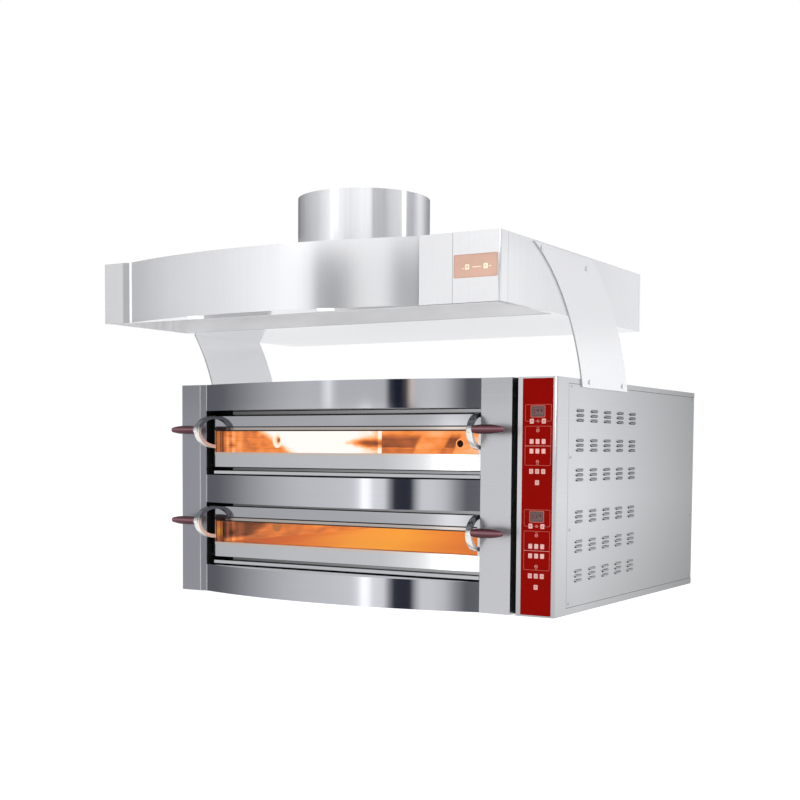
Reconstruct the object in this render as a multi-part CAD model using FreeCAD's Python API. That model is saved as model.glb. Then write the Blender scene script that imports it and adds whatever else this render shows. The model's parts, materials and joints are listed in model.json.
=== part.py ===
import FreeCAD, Part
import os
from math import atan2, cos, degrees, pi, radians, sin

# Two-deck electric pizza oven with bowed front panels, drop-down glazed doors, a control
# column on the right, and an extraction hood carried on two curved blades.
# Frame: +X to the right, +Y to the back, +Z up, millimetres.  The origin is the centre
# of the oven's base, at the height of the surface that the oven rests on.

os.makedirs("parts", exist_ok=True)
Vec = FreeCAD.Vector

# ---------------------------------------------------------------- driving dimensions
WIDTH, DEPTH, HEIGHT = 1500.0, 1300.0, 750.0
GAUGE = 1.5                     # casing sheet
LEFT, RIGHT = -WIDTH / 2, WIDTH / 2
FRONT, BACK = -DEPTH / 2, DEPTH / 2

LEFT_COLUMN = 107.0             # width of the left front column
CHAMFER = 23.0                  # sloped margin beside the bay on the left
BAY = 1130.0                    # width between the two front columns
RIGHT_COLUMN = 110.0
SHADOW_GAP = 21.0               # dark channel beside the control column
COLUMN_DEPTH = 90.0             # how far the front columns reach back
BAY_L = LEFT + LEFT_COLUMN
BAY_R = BAY_L + BAY
BAY_X = (BAY_L + BAY_R) / 2
COLUMN_R = BAY_R + RIGHT_COLUMN
CONTROL_L = COLUMN_R + SHADOW_GAP

BOW_SET_BACK = 8.0              # bow panel ends behind the column face
BOW_RISE = 88.0                 # how far the bow stands forward at mid width

DECK_PITCH = 327.0
DOOR_Z = 127.0                  # underside of the lower door
DOOR_H = 182.5
DECKS = {"lower": DOOR_Z, "upper": DOOR_Z + DECK_PITCH}
BOW_PANELS = {"bottom": (0.0, 98.0), "middle": (325.0, 425.0), "top": (656.0, HEIGHT)}
DOOR_GAP = 14.0                 # side gap between door and column
DOOR_FACE = FRONT + 30.0
DOOR_T = 42.0
DOOR_L, DOOR_R = BAY_L + DOOR_GAP, BAY_R - DOOR_GAP
PIVOT_Y, PIVOT_Z = FRONT + 38.0, 6.0    # door hinge line, height above the door's underside
PIVOT_R = 5.0
RUNNING = 0.05                  # radial clearance of a running fit

WINDOW_EDGE = 9.0               # width of the door's side stiles
WINDOW_LOW, WINDOW_HIGH = 53.0, 133.0   # window, above the door's underside
PANE_T, PANE_LAP = 5.0, 5.0
WINDOW_LIP = 9.0                # height of the raised lips above and below the window

CHAMBER_W, CHAMBER_D = 1080.0, 1080.0
CHAMBER_LOW, CHAMBER_HIGH = 30.0, 182.0  # inside of the liner, above the door's underside
STONE_T = 20.0
LINER_FRONT = FRONT + 75.0
LINER_BACK = LINER_FRONT + CHAMBER_D
CH_L, CH_R = BAY_X - CHAMBER_W / 2, BAY_X + CHAMBER_W / 2

RIM = 17.0                      # folded edge of the top cover
PLINTH = 22.0                   # visible height of the base tray
FLANGE_BACK = FRONT + COLUMN_DEPTH   # side panels and top cover start here
SEAM = 1.2                      # gap round panels that are set into an opening

OVERLAY_L, OVERLAY_R = CONTROL_L + 16.0, RIGHT - 12.0
OVERLAY_T = 0.6
KEY_W, KEY_H = 13.0, 15.0
KEY_PROUD, KEY_BACK, KEY_GAP, KEY_TRAVEL = 1.6, 4.0, 0.3, 0.8
KEY_PITCH = 20.5
KEY_X = RIGHT - 63.0            # middle key column
KEYS = {                        # name: (columns from the middle, height above door underside)
    "down": (-1, 158.0), "up": (1, 158.0),
    "light": (-1, 2.0), "timer": (0, 2.0), "program": (1, 2.0),
    "power": (0, -33.0),
}
DISPLAY_W, DISPLAY_H, DISPLAY_Z = 47.0, 34.0, 188.0

HOOD_FRONT, HOOD_BACK = FRONT - 395.0, FRONT + 690.0
HOOD_LOW, HOOD_HIGH = 940.0, 1140.0
HOOD_RETURN = 50.0              # side return of the hood's control panel
CAPTURE_BACK = FRONT            # rear edge of the hood's open capture bay
COLLAR_X, COLLAR_Y, COLLAR_R, COLLAR_TOP = BAY_X, FRONT + 184.0, 230.0, 1388.0
BLADE_T = 5.0


# ---------------------------------------------------------------- helpers
def box(x0, x1, y0, y1, z0, z1):
    return Part.makeBox(x1 - x0, y1 - y0, z1 - z0, Vec(x0, y0, z0))


def rod(r, length, at, axis):
    return Part.makeCylinder(r, length, Vec(*at), Vec(*axis))


def tube(r_out, r_in, length, at, axis):
    return rod(r_out, length, at, axis).cut(rod(r_in, length, at, axis))


def save(name, *shapes):
    shape = shapes[0] if len(shapes) == 1 else Part.makeCompound(list(shapes))
    shape.exportStep("parts/" + name + ".step")
    print(name, len(shape.Solids), "solids", "%.2e mm3" % shape.Volume, shape.isValid())


def prism(points, push):
    """Straight-sided solid: a closed outline of points, pushed along a vector."""
    outline = [Vec(*p) for p in points]
    return Part.Face(Part.makePolygon(outline + outline[:1])).extrude(Vec(*push))


def hairpin(x_end, x_bend, y_mid, z, half_pitch, r):
    """U-shaped heating tube: two legs along X joined by a half turn."""
    a, b = Vec(x_end, y_mid - half_pitch, z), Vec(x_bend, y_mid - half_pitch, z)
    c, d = Vec(x_bend, y_mid + half_pitch, z), Vec(x_end, y_mid + half_pitch, z)
    tip = Vec(x_bend - half_pitch, y_mid, z)
    path = Part.Wire([Part.makeLine(a, b), Part.Arc(b, tip, c).toShape(), Part.makeLine(c, d)])
    ring = Part.Wire([Part.makeCircle(r, a, Vec(-1, 0, 0))])
    return path.makePipeShell([ring], True, False)


def bow_block(inset, z0, z1, y_chord, y_back):
    """Plan outline of a bow panel: an arc in front, straight sides and back."""
    x0, x1 = BAY_L + inset, BAY_R - inset
    a, b = Vec(x0, y_chord + inset, z0), Vec(x1, y_chord + inset, z0)
    apex = Vec(BAY_X, y_chord - BOW_RISE + inset, z0)
    c, d = Vec(x1, y_back, z0), Vec(x0, y_back, z0)
    edges = [Part.Arc(a, apex, b).toShape(), Part.makeLine(b, c), Part.makeLine(c, d), Part.makeLine(d, a)]
    return Part.Face(Part.Wire(edges)).extrude(Vec(0, 0, z1 - z0))


def bow_panel(z0, z1, y_chord, y_back):
    """Bowed sheet with folded top, bottom and side flanges, open at the back."""
    inner = bow_block(GAUGE, z0 + GAUGE, z1 - GAUGE, y_chord, y_back + 1)
    return bow_block(0, z0, z1, y_chord, y_back).cut(inner)


def open_box(x0, x1, y0, y1, z0, z1):
    """Folded column: front, sides, top and bottom of sheet, open at the back."""
    return box(x0, x1, y0, y1, z0, z1).cut(
        box(x0 + GAUGE, x1 - GAUGE, y0 + GAUGE, y1 + 1, z0 + GAUGE, z1 - GAUGE))


def round_edge(shape, x, y, r):
    """Rounds the vertical edge that stands at x, y."""
    edges = []
    for edge in shape.Edges:
        box_ = edge.BoundBox
        if abs(box_.XMin - x) + abs(box_.XMax - x) + abs(box_.YMin - y) + abs(box_.YMax - y) < 1e-3:
            edges.append(edge)
    return shape.makeFillet(r, edges)


# ---------------------------------------------------------------- case screws
SCREW_HEAD_R, SCREW_HEAD_H, SCREW_R = 4.0, 2.2, 2.0


def side_screw_points():
    """Screws down the front and back edges of both side panels: (y, z)."""
    rows = [35.0, 270.0, 500.0, 725.0]
    return [(y, z) for y in (FLANGE_BACK + 20, BACK - 20) for z in rows]


def back_screw_points():
    return [(x, z) for x in (LEFT + 25, -250.0, 250.0, RIGHT - 25) for z in (40.0, 700.0)]


def case_screws():
    screws = []
    for side in (-1, 1):
        for y, z in side_screw_points():
            head = rod(SCREW_HEAD_R, SCREW_HEAD_H, (side * RIGHT, y, z), (side, 0, 0))
            screws.append(head.fuse(rod(SCREW_R, 5, (side * RIGHT, y, z), (-side, 0, 0))))
    for x, z in back_screw_points():
        head = rod(SCREW_HEAD_R, SCREW_HEAD_H, (x, BACK, z), (0, 1, 0))
        screws.append(head.fuse(rod(SCREW_R, 5, (x, BACK, z), (0, -1, 0))))
    return screws


# ---------------------------------------------------------------- casing
STAND_X, STAND_Y, STAND_R = 1300.0, 1000.0, 5.5      # bolt holes for a stand


def base_tray():
    tray = box(LEFT, RIGHT, FLANGE_BACK, BACK, 0, PLINTH)
    tray = tray.cut(box(LEFT + GAUGE, RIGHT - GAUGE, FLANGE_BACK + GAUGE, BACK - GAUGE, GAUGE, PLINTH + 1))
    holes = [rod(STAND_R, 4, (x, y, -1), (0, 0, 1))
             for x in (-STAND_X / 2, STAND_X / 2) for y in (-STAND_Y / 2, STAND_Y / 2)]
    return tray.cut(Part.makeCompound(holes))


FAN_X, FAN_Z, FAN_SIZE, FAN_T = RIGHT - 105.0, 380.0, 120.0, 38.0
GLAND_X, GLAND_Z, GLAND_R = RIGHT - 105.0, 110.0, 16.0
STEAM_X, STEAM_DZ, STEAM_R, STEAM_OUT = BAY_X - 138.0, 93.0, 17.0, 35.0


def back_panel():
    panel = box(LEFT + GAUGE, RIGHT - GAUGE, BACK - GAUGE, BACK, PLINTH, HEIGHT - RIM)
    y = BACK - 5
    cuts = [rod(STEAM_R - 0.2, 10, (STEAM_X, y, z + STEAM_DZ), (0, 1, 0)) for z in DECKS.values()]
    cuts.append(rod(GLAND_R + 0.2, 10, (GLAND_X, y, GLAND_Z), (0, 1, 0)))
    cuts.append(rod(FAN_SIZE / 2 - 6, 10, (FAN_X, y, FAN_Z), (0, 1, 0)))
    cuts += [rod(SCREW_R, 10, (x, y, z), (0, 1, 0)) for x, z in back_screw_points()]
    return panel.cut(Part.makeCompound(cuts))


def top_cover():
    cover = box(LEFT, RIGHT, FLANGE_BACK, BACK, HEIGHT - RIM, HEIGHT)
    inner = box(LEFT + GAUGE, RIGHT - GAUGE, FLANGE_BACK - 1, BACK - GAUGE, HEIGHT - RIM - 1, HEIGHT - GAUGE)
    cover = cover.cut(inner)
    feet = [rod(SCREW_R, 6, (side * RIGHT, y, BLADE_SCREW_Z), (-side, 0, 0))
            for side in (-1, 1) for y in BLADE_SCREW_Y]
    return cover.cut(Part.makeCompound(feet))


SLOT_W, SLOT_H, SLOT_PITCH = 55.0, 8.0, 15.5
LOUVRE_COLUMNS, LOUVRE_SLOTS, LOUVRE_ROW_PITCH = 5, 3, 95.0
LOUVRE_Y0, LOUVRE_Y_PITCH = FRONT + 181.0, 114.0
LOUVRE_Z_ROWS = [top - LOUVRE_ROW_PITCH * n for top in (309.0, 633.0) for n in range(3)]
PANEL_FOLD = 12.0               # inward return along every edge of a side panel


def side_panel(side):
    """Louvred sheet with folded edges, set in its opening with a narrow seam all round."""
    def block(near, far, inset):
        return box(min(side * near, side * far), max(side * near, side * far), FLANGE_BACK + SEAM + inset,
                   BACK - GAUGE - SEAM - inset, PLINTH + SEAM + inset, HEIGHT - RIM - SEAM - inset)

    x = side * RIGHT
    panel = block(RIGHT, RIGHT - PANEL_FOLD, 0).cut(block(RIGHT - GAUGE, RIGHT - PANEL_FOLD - 1, GAUGE))
    cuts = []
    for column in range(LOUVRE_COLUMNS):
        y = LOUVRE_Y0 + column * LOUVRE_Y_PITCH
        for row in LOUVRE_Z_ROWS:
            for slot in range(LOUVRE_SLOTS):
                z = row + (slot - 1) * SLOT_PITCH
                cuts.append(box(x - 5, x + 5, y - SLOT_W / 2, y + SLOT_W / 2,
                                z - SLOT_H / 2, z + SLOT_H / 2))
    cuts += [rod(SCREW_R, 10, (x - 5, y, z), (1, 0, 0)) for y, z in side_screw_points()]
    return panel.cut(Part.makeCompound(cuts))


def left_front_column():
    """Folded column with a shallow chamfer towards the bay."""
    def plan(inset, z, back):
        return [(LEFT + inset, FRONT + inset, z), (BAY_L - CHAMFER, FRONT + inset, z),
                (BAY_L - inset, FRONT + BOW_SET_BACK + inset, z), (BAY_L - inset, back, z),
                (LEFT + inset, back, z)]

    outer = prism(plan(0, 0, FRONT + COLUMN_DEPTH), (0, 0, HEIGHT))
    inner = prism(plan(GAUGE, GAUGE, FRONT + COLUMN_DEPTH + 1), (0, 0, HEIGHT - 2 * GAUGE))
    return outer.cut(inner).cut(pivot_holes(BAY_L - 5, 10))


def right_front_column():
    column = open_box(BAY_R, COLUMN_R, FRONT, FRONT + COLUMN_DEPTH, 0, HEIGHT)
    column = round_edge(column, BAY_R, FRONT, 1.2)
    return column.cut(pivot_holes(BAY_R - 5, 10))


def pivot_holes(x, length):
    return Part.makeCompound([rod(PIVOT_R, length, (x, PIVOT_Y, z + PIVOT_Z), (1, 0, 0))
                              for z in DECKS.values()])


# ---------------------------------------------------------------- control column
def key_points():
    """Every key on the column: name, x, z."""
    points = []
    for deck, z in DECKS.items():
        for name, (column, dz) in KEYS.items():
            points.append(("key_" + deck + "_" + name, KEY_X + column * KEY_PITCH, z + dz))
    return points


def key_solid(x, z, y_face):
    key = box(x - KEY_W / 2, x + KEY_W / 2, y_face - KEY_PROUD, y_face + KEY_BACK,
              z - KEY_H / 2, z + KEY_H / 2)
    edges = [e for e in key.Edges if e.BoundBox.YLength > KEY_BACK]
    return key.makeFillet(1.5, edges)


def key_hole(x, z, y_face):
    return box(x - KEY_W / 2 - KEY_GAP, x + KEY_W / 2 + KEY_GAP, y_face - 5, y_face + 5,
               z - KEY_H / 2 - KEY_GAP, z + KEY_H / 2 + KEY_GAP)


def display_block(y0, y1):
    return [box(KEY_X - DISPLAY_W / 2, KEY_X + DISPLAY_W / 2, y0, y1,
                z + DISPLAY_Z - DISPLAY_H / 2, z + DISPLAY_Z + DISPLAY_H / 2) for z in DECKS.values()]


def control_cuts():
    cuts = [key_hole(x, z, FRONT) for _, x, z in key_points()]
    return Part.makeCompound(cuts + display_block(FRONT - 5, FRONT + 5))


def control_column():
    outer = round_edge(box(CONTROL_L, RIGHT, FRONT, FLANGE_BACK, 0, HEIGHT), RIGHT, FRONT, 8.0)
    inner = box(CONTROL_L + GAUGE, RIGHT - GAUGE, FRONT + GAUGE, FLANGE_BACK + 1, GAUGE, HEIGHT - GAUGE)
    inner = round_edge(inner, RIGHT - GAUGE, FRONT + GAUGE, 6.5)
    return outer.cut(inner).cut(control_cuts())


def control_overlay():
    return box(OVERLAY_L, OVERLAY_R, FRONT - OVERLAY_T, FRONT, 5, HEIGHT - 5).cut(control_cuts())


def control_boards():
    """Key boards behind the column, and the power gear on its rail."""
    parts = []
    for z in DECKS.values():
        parts.append(box(KEY_X - 45, KEY_X + 45, FRONT + 8, FRONT + 9.6, z - 60, z + 215))
    parts.append(box(COLUMN_R + 20, RIGHT - 20, 200, 207.5, 60, 660))
    for z in DECKS.values():
        for n in range(3):
            x = COLUMN_R + 30 + n * 34
            parts.append(box(x, x + 30, 120, 200, z + 60, z + 140))
    return parts


# ---------------------------------------------------------------- chambers
def liner(z):
    """Five sheets, seam-welded along their edges and open to the front."""
    low, high = z + CHAMBER_LOW, z + CHAMBER_HIGH
    floor, roof = [box(CH_L - GAUGE, CH_R + GAUGE, LINER_FRONT, LINER_BACK + GAUGE, z0, z0 + GAUGE)
                   for z0 in (low - GAUGE, high)]
    left, right = [box(x0, x0 + GAUGE, LINER_FRONT, LINER_BACK + GAUGE, low, high)
                   for x0 in (CH_L - GAUGE, CH_R)]
    rear = box(CH_L, CH_R, LINER_BACK, LINER_BACK + GAUGE, low, high)
    left = left.cut(rod(LAMP_R, 20, (CH_L - 10, LAMP_Y, z + LAMP_DZ), (1, 0, 0)))
    right = right.cut(Part.makeCompound(element_legs(z, ELEMENT_R + 0.3)))
    rear = rear.cut(rod(STEAM_R - GAUGE, 20, (STEAM_X, LINER_BACK - 10, z + STEAM_DZ), (0, 1, 0)))
    return [floor, roof, left, right, rear]


ELEMENT_R, ELEMENT_HALF = 4.25, 75.0
ELEMENT_Y = [LINER_FRONT + CHAMBER_D * n for n in (0.17, 0.5, 0.83)]
ELEMENT_END = CH_R + 75.0
ELEMENT_TOP, ELEMENT_LOW = CHAMBER_HIGH - 14.0, CHAMBER_LOW - 10.0


def element_legs(z, r):
    """Straight legs where the upper tubes pass through the chamber's right wall."""
    return [rod(r, 100, (CH_R - 5, y + side * ELEMENT_HALF, z + ELEMENT_TOP), (1, 0, 0))
            for y in ELEMENT_Y for side in (-1, 1)]


def heating_elements():
    tubes = []
    for z in DECKS.values():
        for height in (ELEMENT_TOP, ELEMENT_LOW):
            for y in ELEMENT_Y:
                tubes.append(hairpin(ELEMENT_END, CH_L + 120, y, z + height, ELEMENT_HALF, ELEMENT_R))
    return tubes


def baking_stones():
    """Three refractory slabs side by side in each chamber."""
    slabs, width = [], CHAMBER_W / 3
    for z in DECKS.values():
        low = z + CHAMBER_LOW
        for n in range(3):
            x = CH_L + n * width
            slabs.append(box(x + 0.5, x + width - 0.5, LINER_FRONT + 2, LINER_BACK - 2, low, low + STONE_T))
    return slabs


LAMP_R, LAMP_Y, LAMP_DZ = 30.0, LINER_FRONT + 330.0, 100.0


def chamber_lamps():
    """Lamp housings in the chamber's left wall, each with its domed glass."""
    lamps = []
    for z in DECKS.values():
        at = (CH_L - 62, LAMP_Y, z + LAMP_DZ)
        body = rod(LAMP_R - 0.5, 62, at, (1, 0, 0))
        dome = Part.makeSphere(34, Vec(CH_L - 26, LAMP_Y, z + LAMP_DZ))
        dome = dome.common(box(CH_L, CH_L + 40, LAMP_Y - 40, LAMP_Y + 40, z + 50, z + 150))
        lamps.append(body.fuse(dome))
    return lamps


def insulation():
    """Mineral wool slabs round each chamber."""
    slabs = []
    y0, y1 = FLANGE_BACK + 2, LINER_BACK + 8
    for z in DECKS.values():
        low, high = z + CHAMBER_LOW, z + CHAMBER_HIGH
        slabs.append(box(CH_L - 60, CH_R + 60, y0, y1, high + 4, high + 54))
        slabs.append(box(CH_L - 60, CH_R + 60, y0, y1, low - 72, low - 22))
        side_low, side_high = low - 5, high + 3
        left = box(CH_L - 60, CH_L - 5, y0, y1, side_low, side_high)
        slabs.append(left.cut(rod(LAMP_R + 1, 80, (CH_L - 70, LAMP_Y, z + LAMP_DZ), (1, 0, 0))))
        right = box(CH_R + 5, CH_R + 60, y0, y1, side_low, side_high)
        slabs.append(right.cut(Part.makeCompound(element_legs(z, ELEMENT_R + 1))))
        rear = box(CH_L - 60, CH_R + 60, y1 + 1, y1 + 61, low - 72, high + 54)
        slabs.append(rear.cut(rod(STEAM_R + 1, 80, (STEAM_X, y1, z + STEAM_DZ), (0, 1, 0))))
    return slabs


def steam_outlets():
    """Pipe from each chamber's rear wall, with a wider spigot outside and a shut damper plate."""
    outlets, start, run = [], LINER_BACK + GAUGE, BACK - LINER_BACK - GAUGE
    for z in DECKS.values():
        pipe = tube(STEAM_R - 0.5, STEAM_R - GAUGE - 0.5, run, (STEAM_X, start, z + STEAM_DZ), (0, 1, 0))
        spigot = tube(STEAM_R, STEAM_R - GAUGE - 0.5, STEAM_OUT, (STEAM_X, BACK, z + STEAM_DZ), (0, 1, 0))
        plate = rod(STEAM_R - GAUGE, GAUGE, (STEAM_X, start + 40, z + STEAM_DZ), (0, 1, 0))
        outlets.append(pipe.fuse(spigot).fuse(plate))
    return outlets


GLAND_BORE = 9.0


def cable_gland():
    """Hexagonal gland with its lock nut inside the back panel."""
    def hexagon(r, y, t):
        corners = [(GLAND_X + r * cos(n * pi / 3), y, GLAND_Z + r * sin(n * pi / 3)) for n in range(6)]
        return prism(corners, (0, t, 0))

    body = hexagon(23, BACK, 10)
    body = body.fuse(rod(19, 22, (GLAND_X, BACK, GLAND_Z), (0, 1, 0)))
    body = body.fuse(rod(GLAND_R, 14, (GLAND_X, BACK - 14, GLAND_Z), (0, 1, 0)))
    body = body.fuse(hexagon(22, BACK - 9, 7))
    return body.cut(rod(GLAND_BORE, 60, (GLAND_X, BACK - 20, GLAND_Z), (0, 1, 0)))


# ---------------------------------------------------------------- door surrounds
def deck_top(z):
    """Underside of the bow panel above a door."""
    return BOW_PANELS["middle"][0] if z == DECKS["lower"] else BOW_PANELS["top"][0]


SILL_H = 12.0


def door_sills():
    """Sill under each door, and the slim bars in the gaps below and above it."""
    bars = []
    for z in DECKS.values():
        sill_top = z - 14
        bars.append(box(DOOR_L + 2, DOOR_R - 2, DOOR_FACE, FRONT + 73, sill_top - SILL_H, sill_top))
        bars.append(box(DOOR_L + 70, DOOR_R - 2, FRONT + 56, FRONT + 73, z - 13, z - 2.5))
        top = deck_top(z)
        bars.append(box(DOOR_L + 70, DOOR_R - 2, FRONT + 56, FRONT + 73, top - 14, top - 1))
    return bars


def door_recess_linings():
    """Dark plates behind and beside each door, and the dark channel by the control column."""
    plates = []
    for z in DECKS.values():
        low, high = z - 29, deck_top(z)
        mouth_low, mouth_high = z + CHAMBER_LOW + STONE_T, z + CHAMBER_HIGH
        strips = [(BAY_L + 2, BAY_R - 2, low, mouth_low), (BAY_L + 2, BAY_R - 2, mouth_high, high),
                  (BAY_L + 2, CH_L, mouth_low, mouth_high), (CH_R, BAY_R - 2, mouth_low, mouth_high)]
        plates += [box(x0, x1, FRONT + 73.5, LINER_FRONT, z0, z1) for x0, x1, z0, z1 in strips]
        for x in (BAY_L, BAY_R - 2):
            side = box(x, x + 2, FRONT + 12, LINER_FRONT, low, high)
            plates.append(side.cut(pivot_holes(x - 5, 12)))
    plates.append(box(COLUMN_R, CONTROL_L, FRONT + 45, FRONT + 47, 0, HEIGHT))
    return plates


def door_hinge_pins():
    """Plain pins held in the columns, on which the doors turn."""
    pins = []
    for z in DECKS.values():
        for x in (BAY_L - 6, BAY_R - 28):
            pins.append(rod(PIVOT_R, 34, (x, PIVOT_Y, z + PIVOT_Z), (1, 0, 0)))
    return pins


# ---------------------------------------------------------------- doors
def window_box(z, lap, y0, y1):
    return box(DOOR_L + WINDOW_EDGE - lap, DOOR_R - WINDOW_EDGE + lap, y0, y1,
               z + WINDOW_LOW - lap, z + WINDOW_HIGH + lap)


def window_lips(z):
    """Slim lips that stand proud above and below the window."""
    x0, x1 = DOOR_L + WINDOW_EDGE, DOOR_R - WINDOW_EDGE
    return [box(x0, x1, DOOR_FACE - 2, DOOR_FACE + 1, z + low, z + low + WINDOW_LIP)
            for low in (WINDOW_LOW - WINDOW_LIP, WINDOW_HIGH)]


PANE_Y = [DOOR_FACE + 3, DOOR_FACE + DOOR_T - 12]


def door_frame(z):
    """Pressed-steel door: hollow rails, slim stiles, window lips, and pane grooves."""
    frame = box(DOOR_L, DOOR_R, DOOR_FACE, DOOR_FACE + DOOR_T, z, z + DOOR_H)
    frame = frame.fuse(window_lips(z))
    cuts = [window_box(z, 0, DOOR_FACE - 5, DOOR_FACE + DOOR_T + 5)]
    cuts += [window_box(z, PANE_LAP, y, y + PANE_T) for y in PANE_Y]
    for low, high in ((GAUGE, WINDOW_LOW - 12), (WINDOW_HIGH + 12, DOOR_H - GAUGE)):
        cuts.append(box(DOOR_L + 30, DOOR_R - 30, DOOR_FACE + GAUGE, DOOR_FACE + DOOR_T - GAUGE,
                        z + low, z + high))
    for x in (DOOR_L - 1, DOOR_R - 21):
        cuts.append(rod(PIVOT_R + RUNNING, 22, (x, PIVOT_Y, z + PIVOT_Z), (1, 0, 0)))
    return frame.cut(Part.makeCompound(cuts))


def door_glass(z):
    return [window_box(z, PANE_LAP - 0.2, y + 0.1, y + PANE_T - 0.1) for y in PANE_Y]


BOW_HALF_H, BOW_REACH, STRAP_T = 59.5, 90.0, 13.0    # handle bow: half height, reach, strap
BOW_DZ, GRIP_DZ = 127.0, 132.5                       # bow and grip centres above the door's underside
BOW_OUT, FOOT_IN = 4.0, 5.0                          # bow's tip outside and feet inside the door's end
STRAP_WIDE, STRAP_NARROW = 21.0, 15.0
FERRULE_R, FERRULE_IN, FERRULE_OUT = 12.5, 6.0, 10.0
GRIP_LEN, GRIP_R, GRIP_END_R, GRIP_TIP_R = 108.0, 15.5, 12.0, 8.0
STUD_R = 4.0


def half_oval(reach, half_h, z, x):
    centre = Vec(x, DOOR_FACE, z)
    oval = Part.Ellipse(Vec(x, DOOR_FACE - reach, z), Vec(x, DOOR_FACE, z + half_h), centre)
    start = oval.parameter(Vec(x, DOOR_FACE, z + half_h))
    end = oval.parameter(Vec(x, DOOR_FACE, z - half_h))
    arc = oval.toShape(min(start, end), max(start, end))
    if arc.BoundBox.YMax > DOOR_FACE + 1:
        arc = oval.toShape(max(start, end), min(start, end) + 2 * pi)
    return Part.Face(Part.Wire([arc, Part.makeLine(arc.Vertexes[0].Point, arc.Vertexes[-1].Point)]))


def handle_place(side):
    """Plan position of a handle: the door's end, and the y of the grip's axis."""
    return (DOOR_L if side < 0 else DOOR_R), DOOR_FACE - BOW_REACH + STRAP_T / 2


def handle_bow(z, side):
    """One curved strap, leaning outwards, with its ferrule and stud; side is -1 left, +1 right."""
    end, y = handle_place(side)
    tip_x, foot_x = end + side * BOW_OUT, end - side * FOOT_IN
    zc, tip = z + BOW_DZ, DOOR_FACE - BOW_REACH - 1
    x0, span = end - 20, 40
    strap = half_oval(BOW_REACH, BOW_HALF_H, zc, x0).extrude(Vec(span, 0, 0))
    strap = strap.cut(half_oval(BOW_REACH - STRAP_T, BOW_HALF_H - STRAP_T, zc, x0).extrude(Vec(span, 0, 0)))
    plan = [(tip_x - STRAP_WIDE / 2, tip), (tip_x + STRAP_WIDE / 2, tip),
            (foot_x + STRAP_NARROW / 2, DOOR_FACE), (foot_x - STRAP_NARROW / 2, DOOR_FACE)]
    strap = strap.common(prism([(px, py, zc - 80) for px, py in plan], (0, 0, 160)))
    axis = z + GRIP_DZ
    ferrule = rod(FERRULE_R, FERRULE_IN + FERRULE_OUT, (tip_x - side * FERRULE_IN, y, axis), (side, 0, 0))
    stud = rod(STUD_R, 70, (tip_x, y, axis), (side, 0, 0))
    return strap.fuse(ferrule).fuse(stud)


def handle_grip(z, side):
    """Spindle-shaped grip: blunt where it meets the ferrule, slim and rounded outside."""
    end, y = handle_place(side)
    x, zc = end + side * (BOW_OUT + FERRULE_OUT), z + GRIP_DZ
    a, b = Vec(x, y, zc), Vec(x, y, zc + GRIP_END_R)
    mid = Vec(x + side * GRIP_LEN * 0.38, y, zc + GRIP_R)
    c, d = Vec(x + side * GRIP_LEN, y, zc + GRIP_TIP_R), Vec(x + side * GRIP_LEN, y, zc)
    outline = Part.Wire([Part.makeLine(a, b), Part.Arc(b, mid, c).toShape(), Part.makeLine(c, d),
                         Part.makeLine(d, a)])
    grip = Part.Face(outline).revolve(Vec(x, y, zc), Vec(1, 0, 0), 360)
    rim = [e for e in grip.Edges if abs(e.BoundBox.XMin - c.x) < 0.01 and e.BoundBox.XLength < 0.01
           and e.BoundBox.ZLength > GRIP_TIP_R]
    grip = grip.makeFillet(GRIP_TIP_R * 0.7, rim)
    return grip.cut(rod(STUD_R, 62, (x - side, y, zc), (side, 0, 0)))


# ---------------------------------------------------------------- fans
def axial_rotor(r_tip, r_hub, blades, height, thickness, sweep):
    """Hub and pitched blades about +Z, from z = 0 to height."""
    rotor = rod(r_hub, height, (0, 0, 0), (0, 0, 1))
    for n in range(blades):
        blade = box(r_hub - 3, r_tip, -thickness / 2, thickness / 2, -height, height * 2)
        blade.rotate(Vec(0, 0, height / 2), Vec(1, 0, 0), sweep)
        blade = blade.common(rod(r_tip, height - 4, (0, 0, 2), (0, 0, 1)))
        blade.rotate(Vec(0, 0, 0), Vec(0, 0, 1), 360.0 * n / blades)
        rotor = rotor.fuse(blade)
    return rotor


FAN_Y = BACK - GAUGE - FAN_T
FAN_SHAFT_R = 3.0


def cooling_fan_frame():
    """Square fan body with a round duct and a three-armed bearing spider."""
    half = FAN_SIZE / 2
    frame = box(FAN_X - half, FAN_X + half, FAN_Y, FAN_Y + FAN_T, FAN_Z - half, FAN_Z + half)
    frame = frame.cut(rod(half - 3, FAN_T + 2, (FAN_X, FAN_Y - 1, FAN_Z), (0, 1, 0)))
    hub = rod(22, 5, (FAN_X, FAN_Y, FAN_Z), (0, 1, 0))
    for n in range(3):
        arm = box(FAN_X, FAN_X + half - 1, FAN_Y, FAN_Y + 5, FAN_Z - 3, FAN_Z + 3)
        arm.rotate(Vec(FAN_X, FAN_Y, FAN_Z), Vec(0, 1, 0), 90 + 120 * n)
        hub = hub.fuse(arm)
    frame = frame.fuse(hub)
    return frame.cut(rod(FAN_SHAFT_R + RUNNING, 10, (FAN_X, FAN_Y - 1, FAN_Z), (0, 1, 0)))


def cooling_fan_rotor():
    rotor = axial_rotor(FAN_SIZE / 2 - 6, 20, 7, FAN_T - 12, 2.0, 50)
    rotor = rotor.fuse(rod(FAN_SHAFT_R, 12, (0, 0, FAN_T - 14), (0, 0, 1)))
    rotor.rotate(Vec(0, 0, 0), Vec(1, 0, 0), 90)
    rotor.translate(Vec(FAN_X, FAN_Y + FAN_T - 4, FAN_Z))
    return rotor


MOTOR_R, MOTOR_LOW, MOTOR_H = 58.0, HOOD_LOW + GAUGE, 92.0
IMPELLER_R, IMPELLER_H, SHAFT_R = 195.0, 60.0, 8.0


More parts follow.
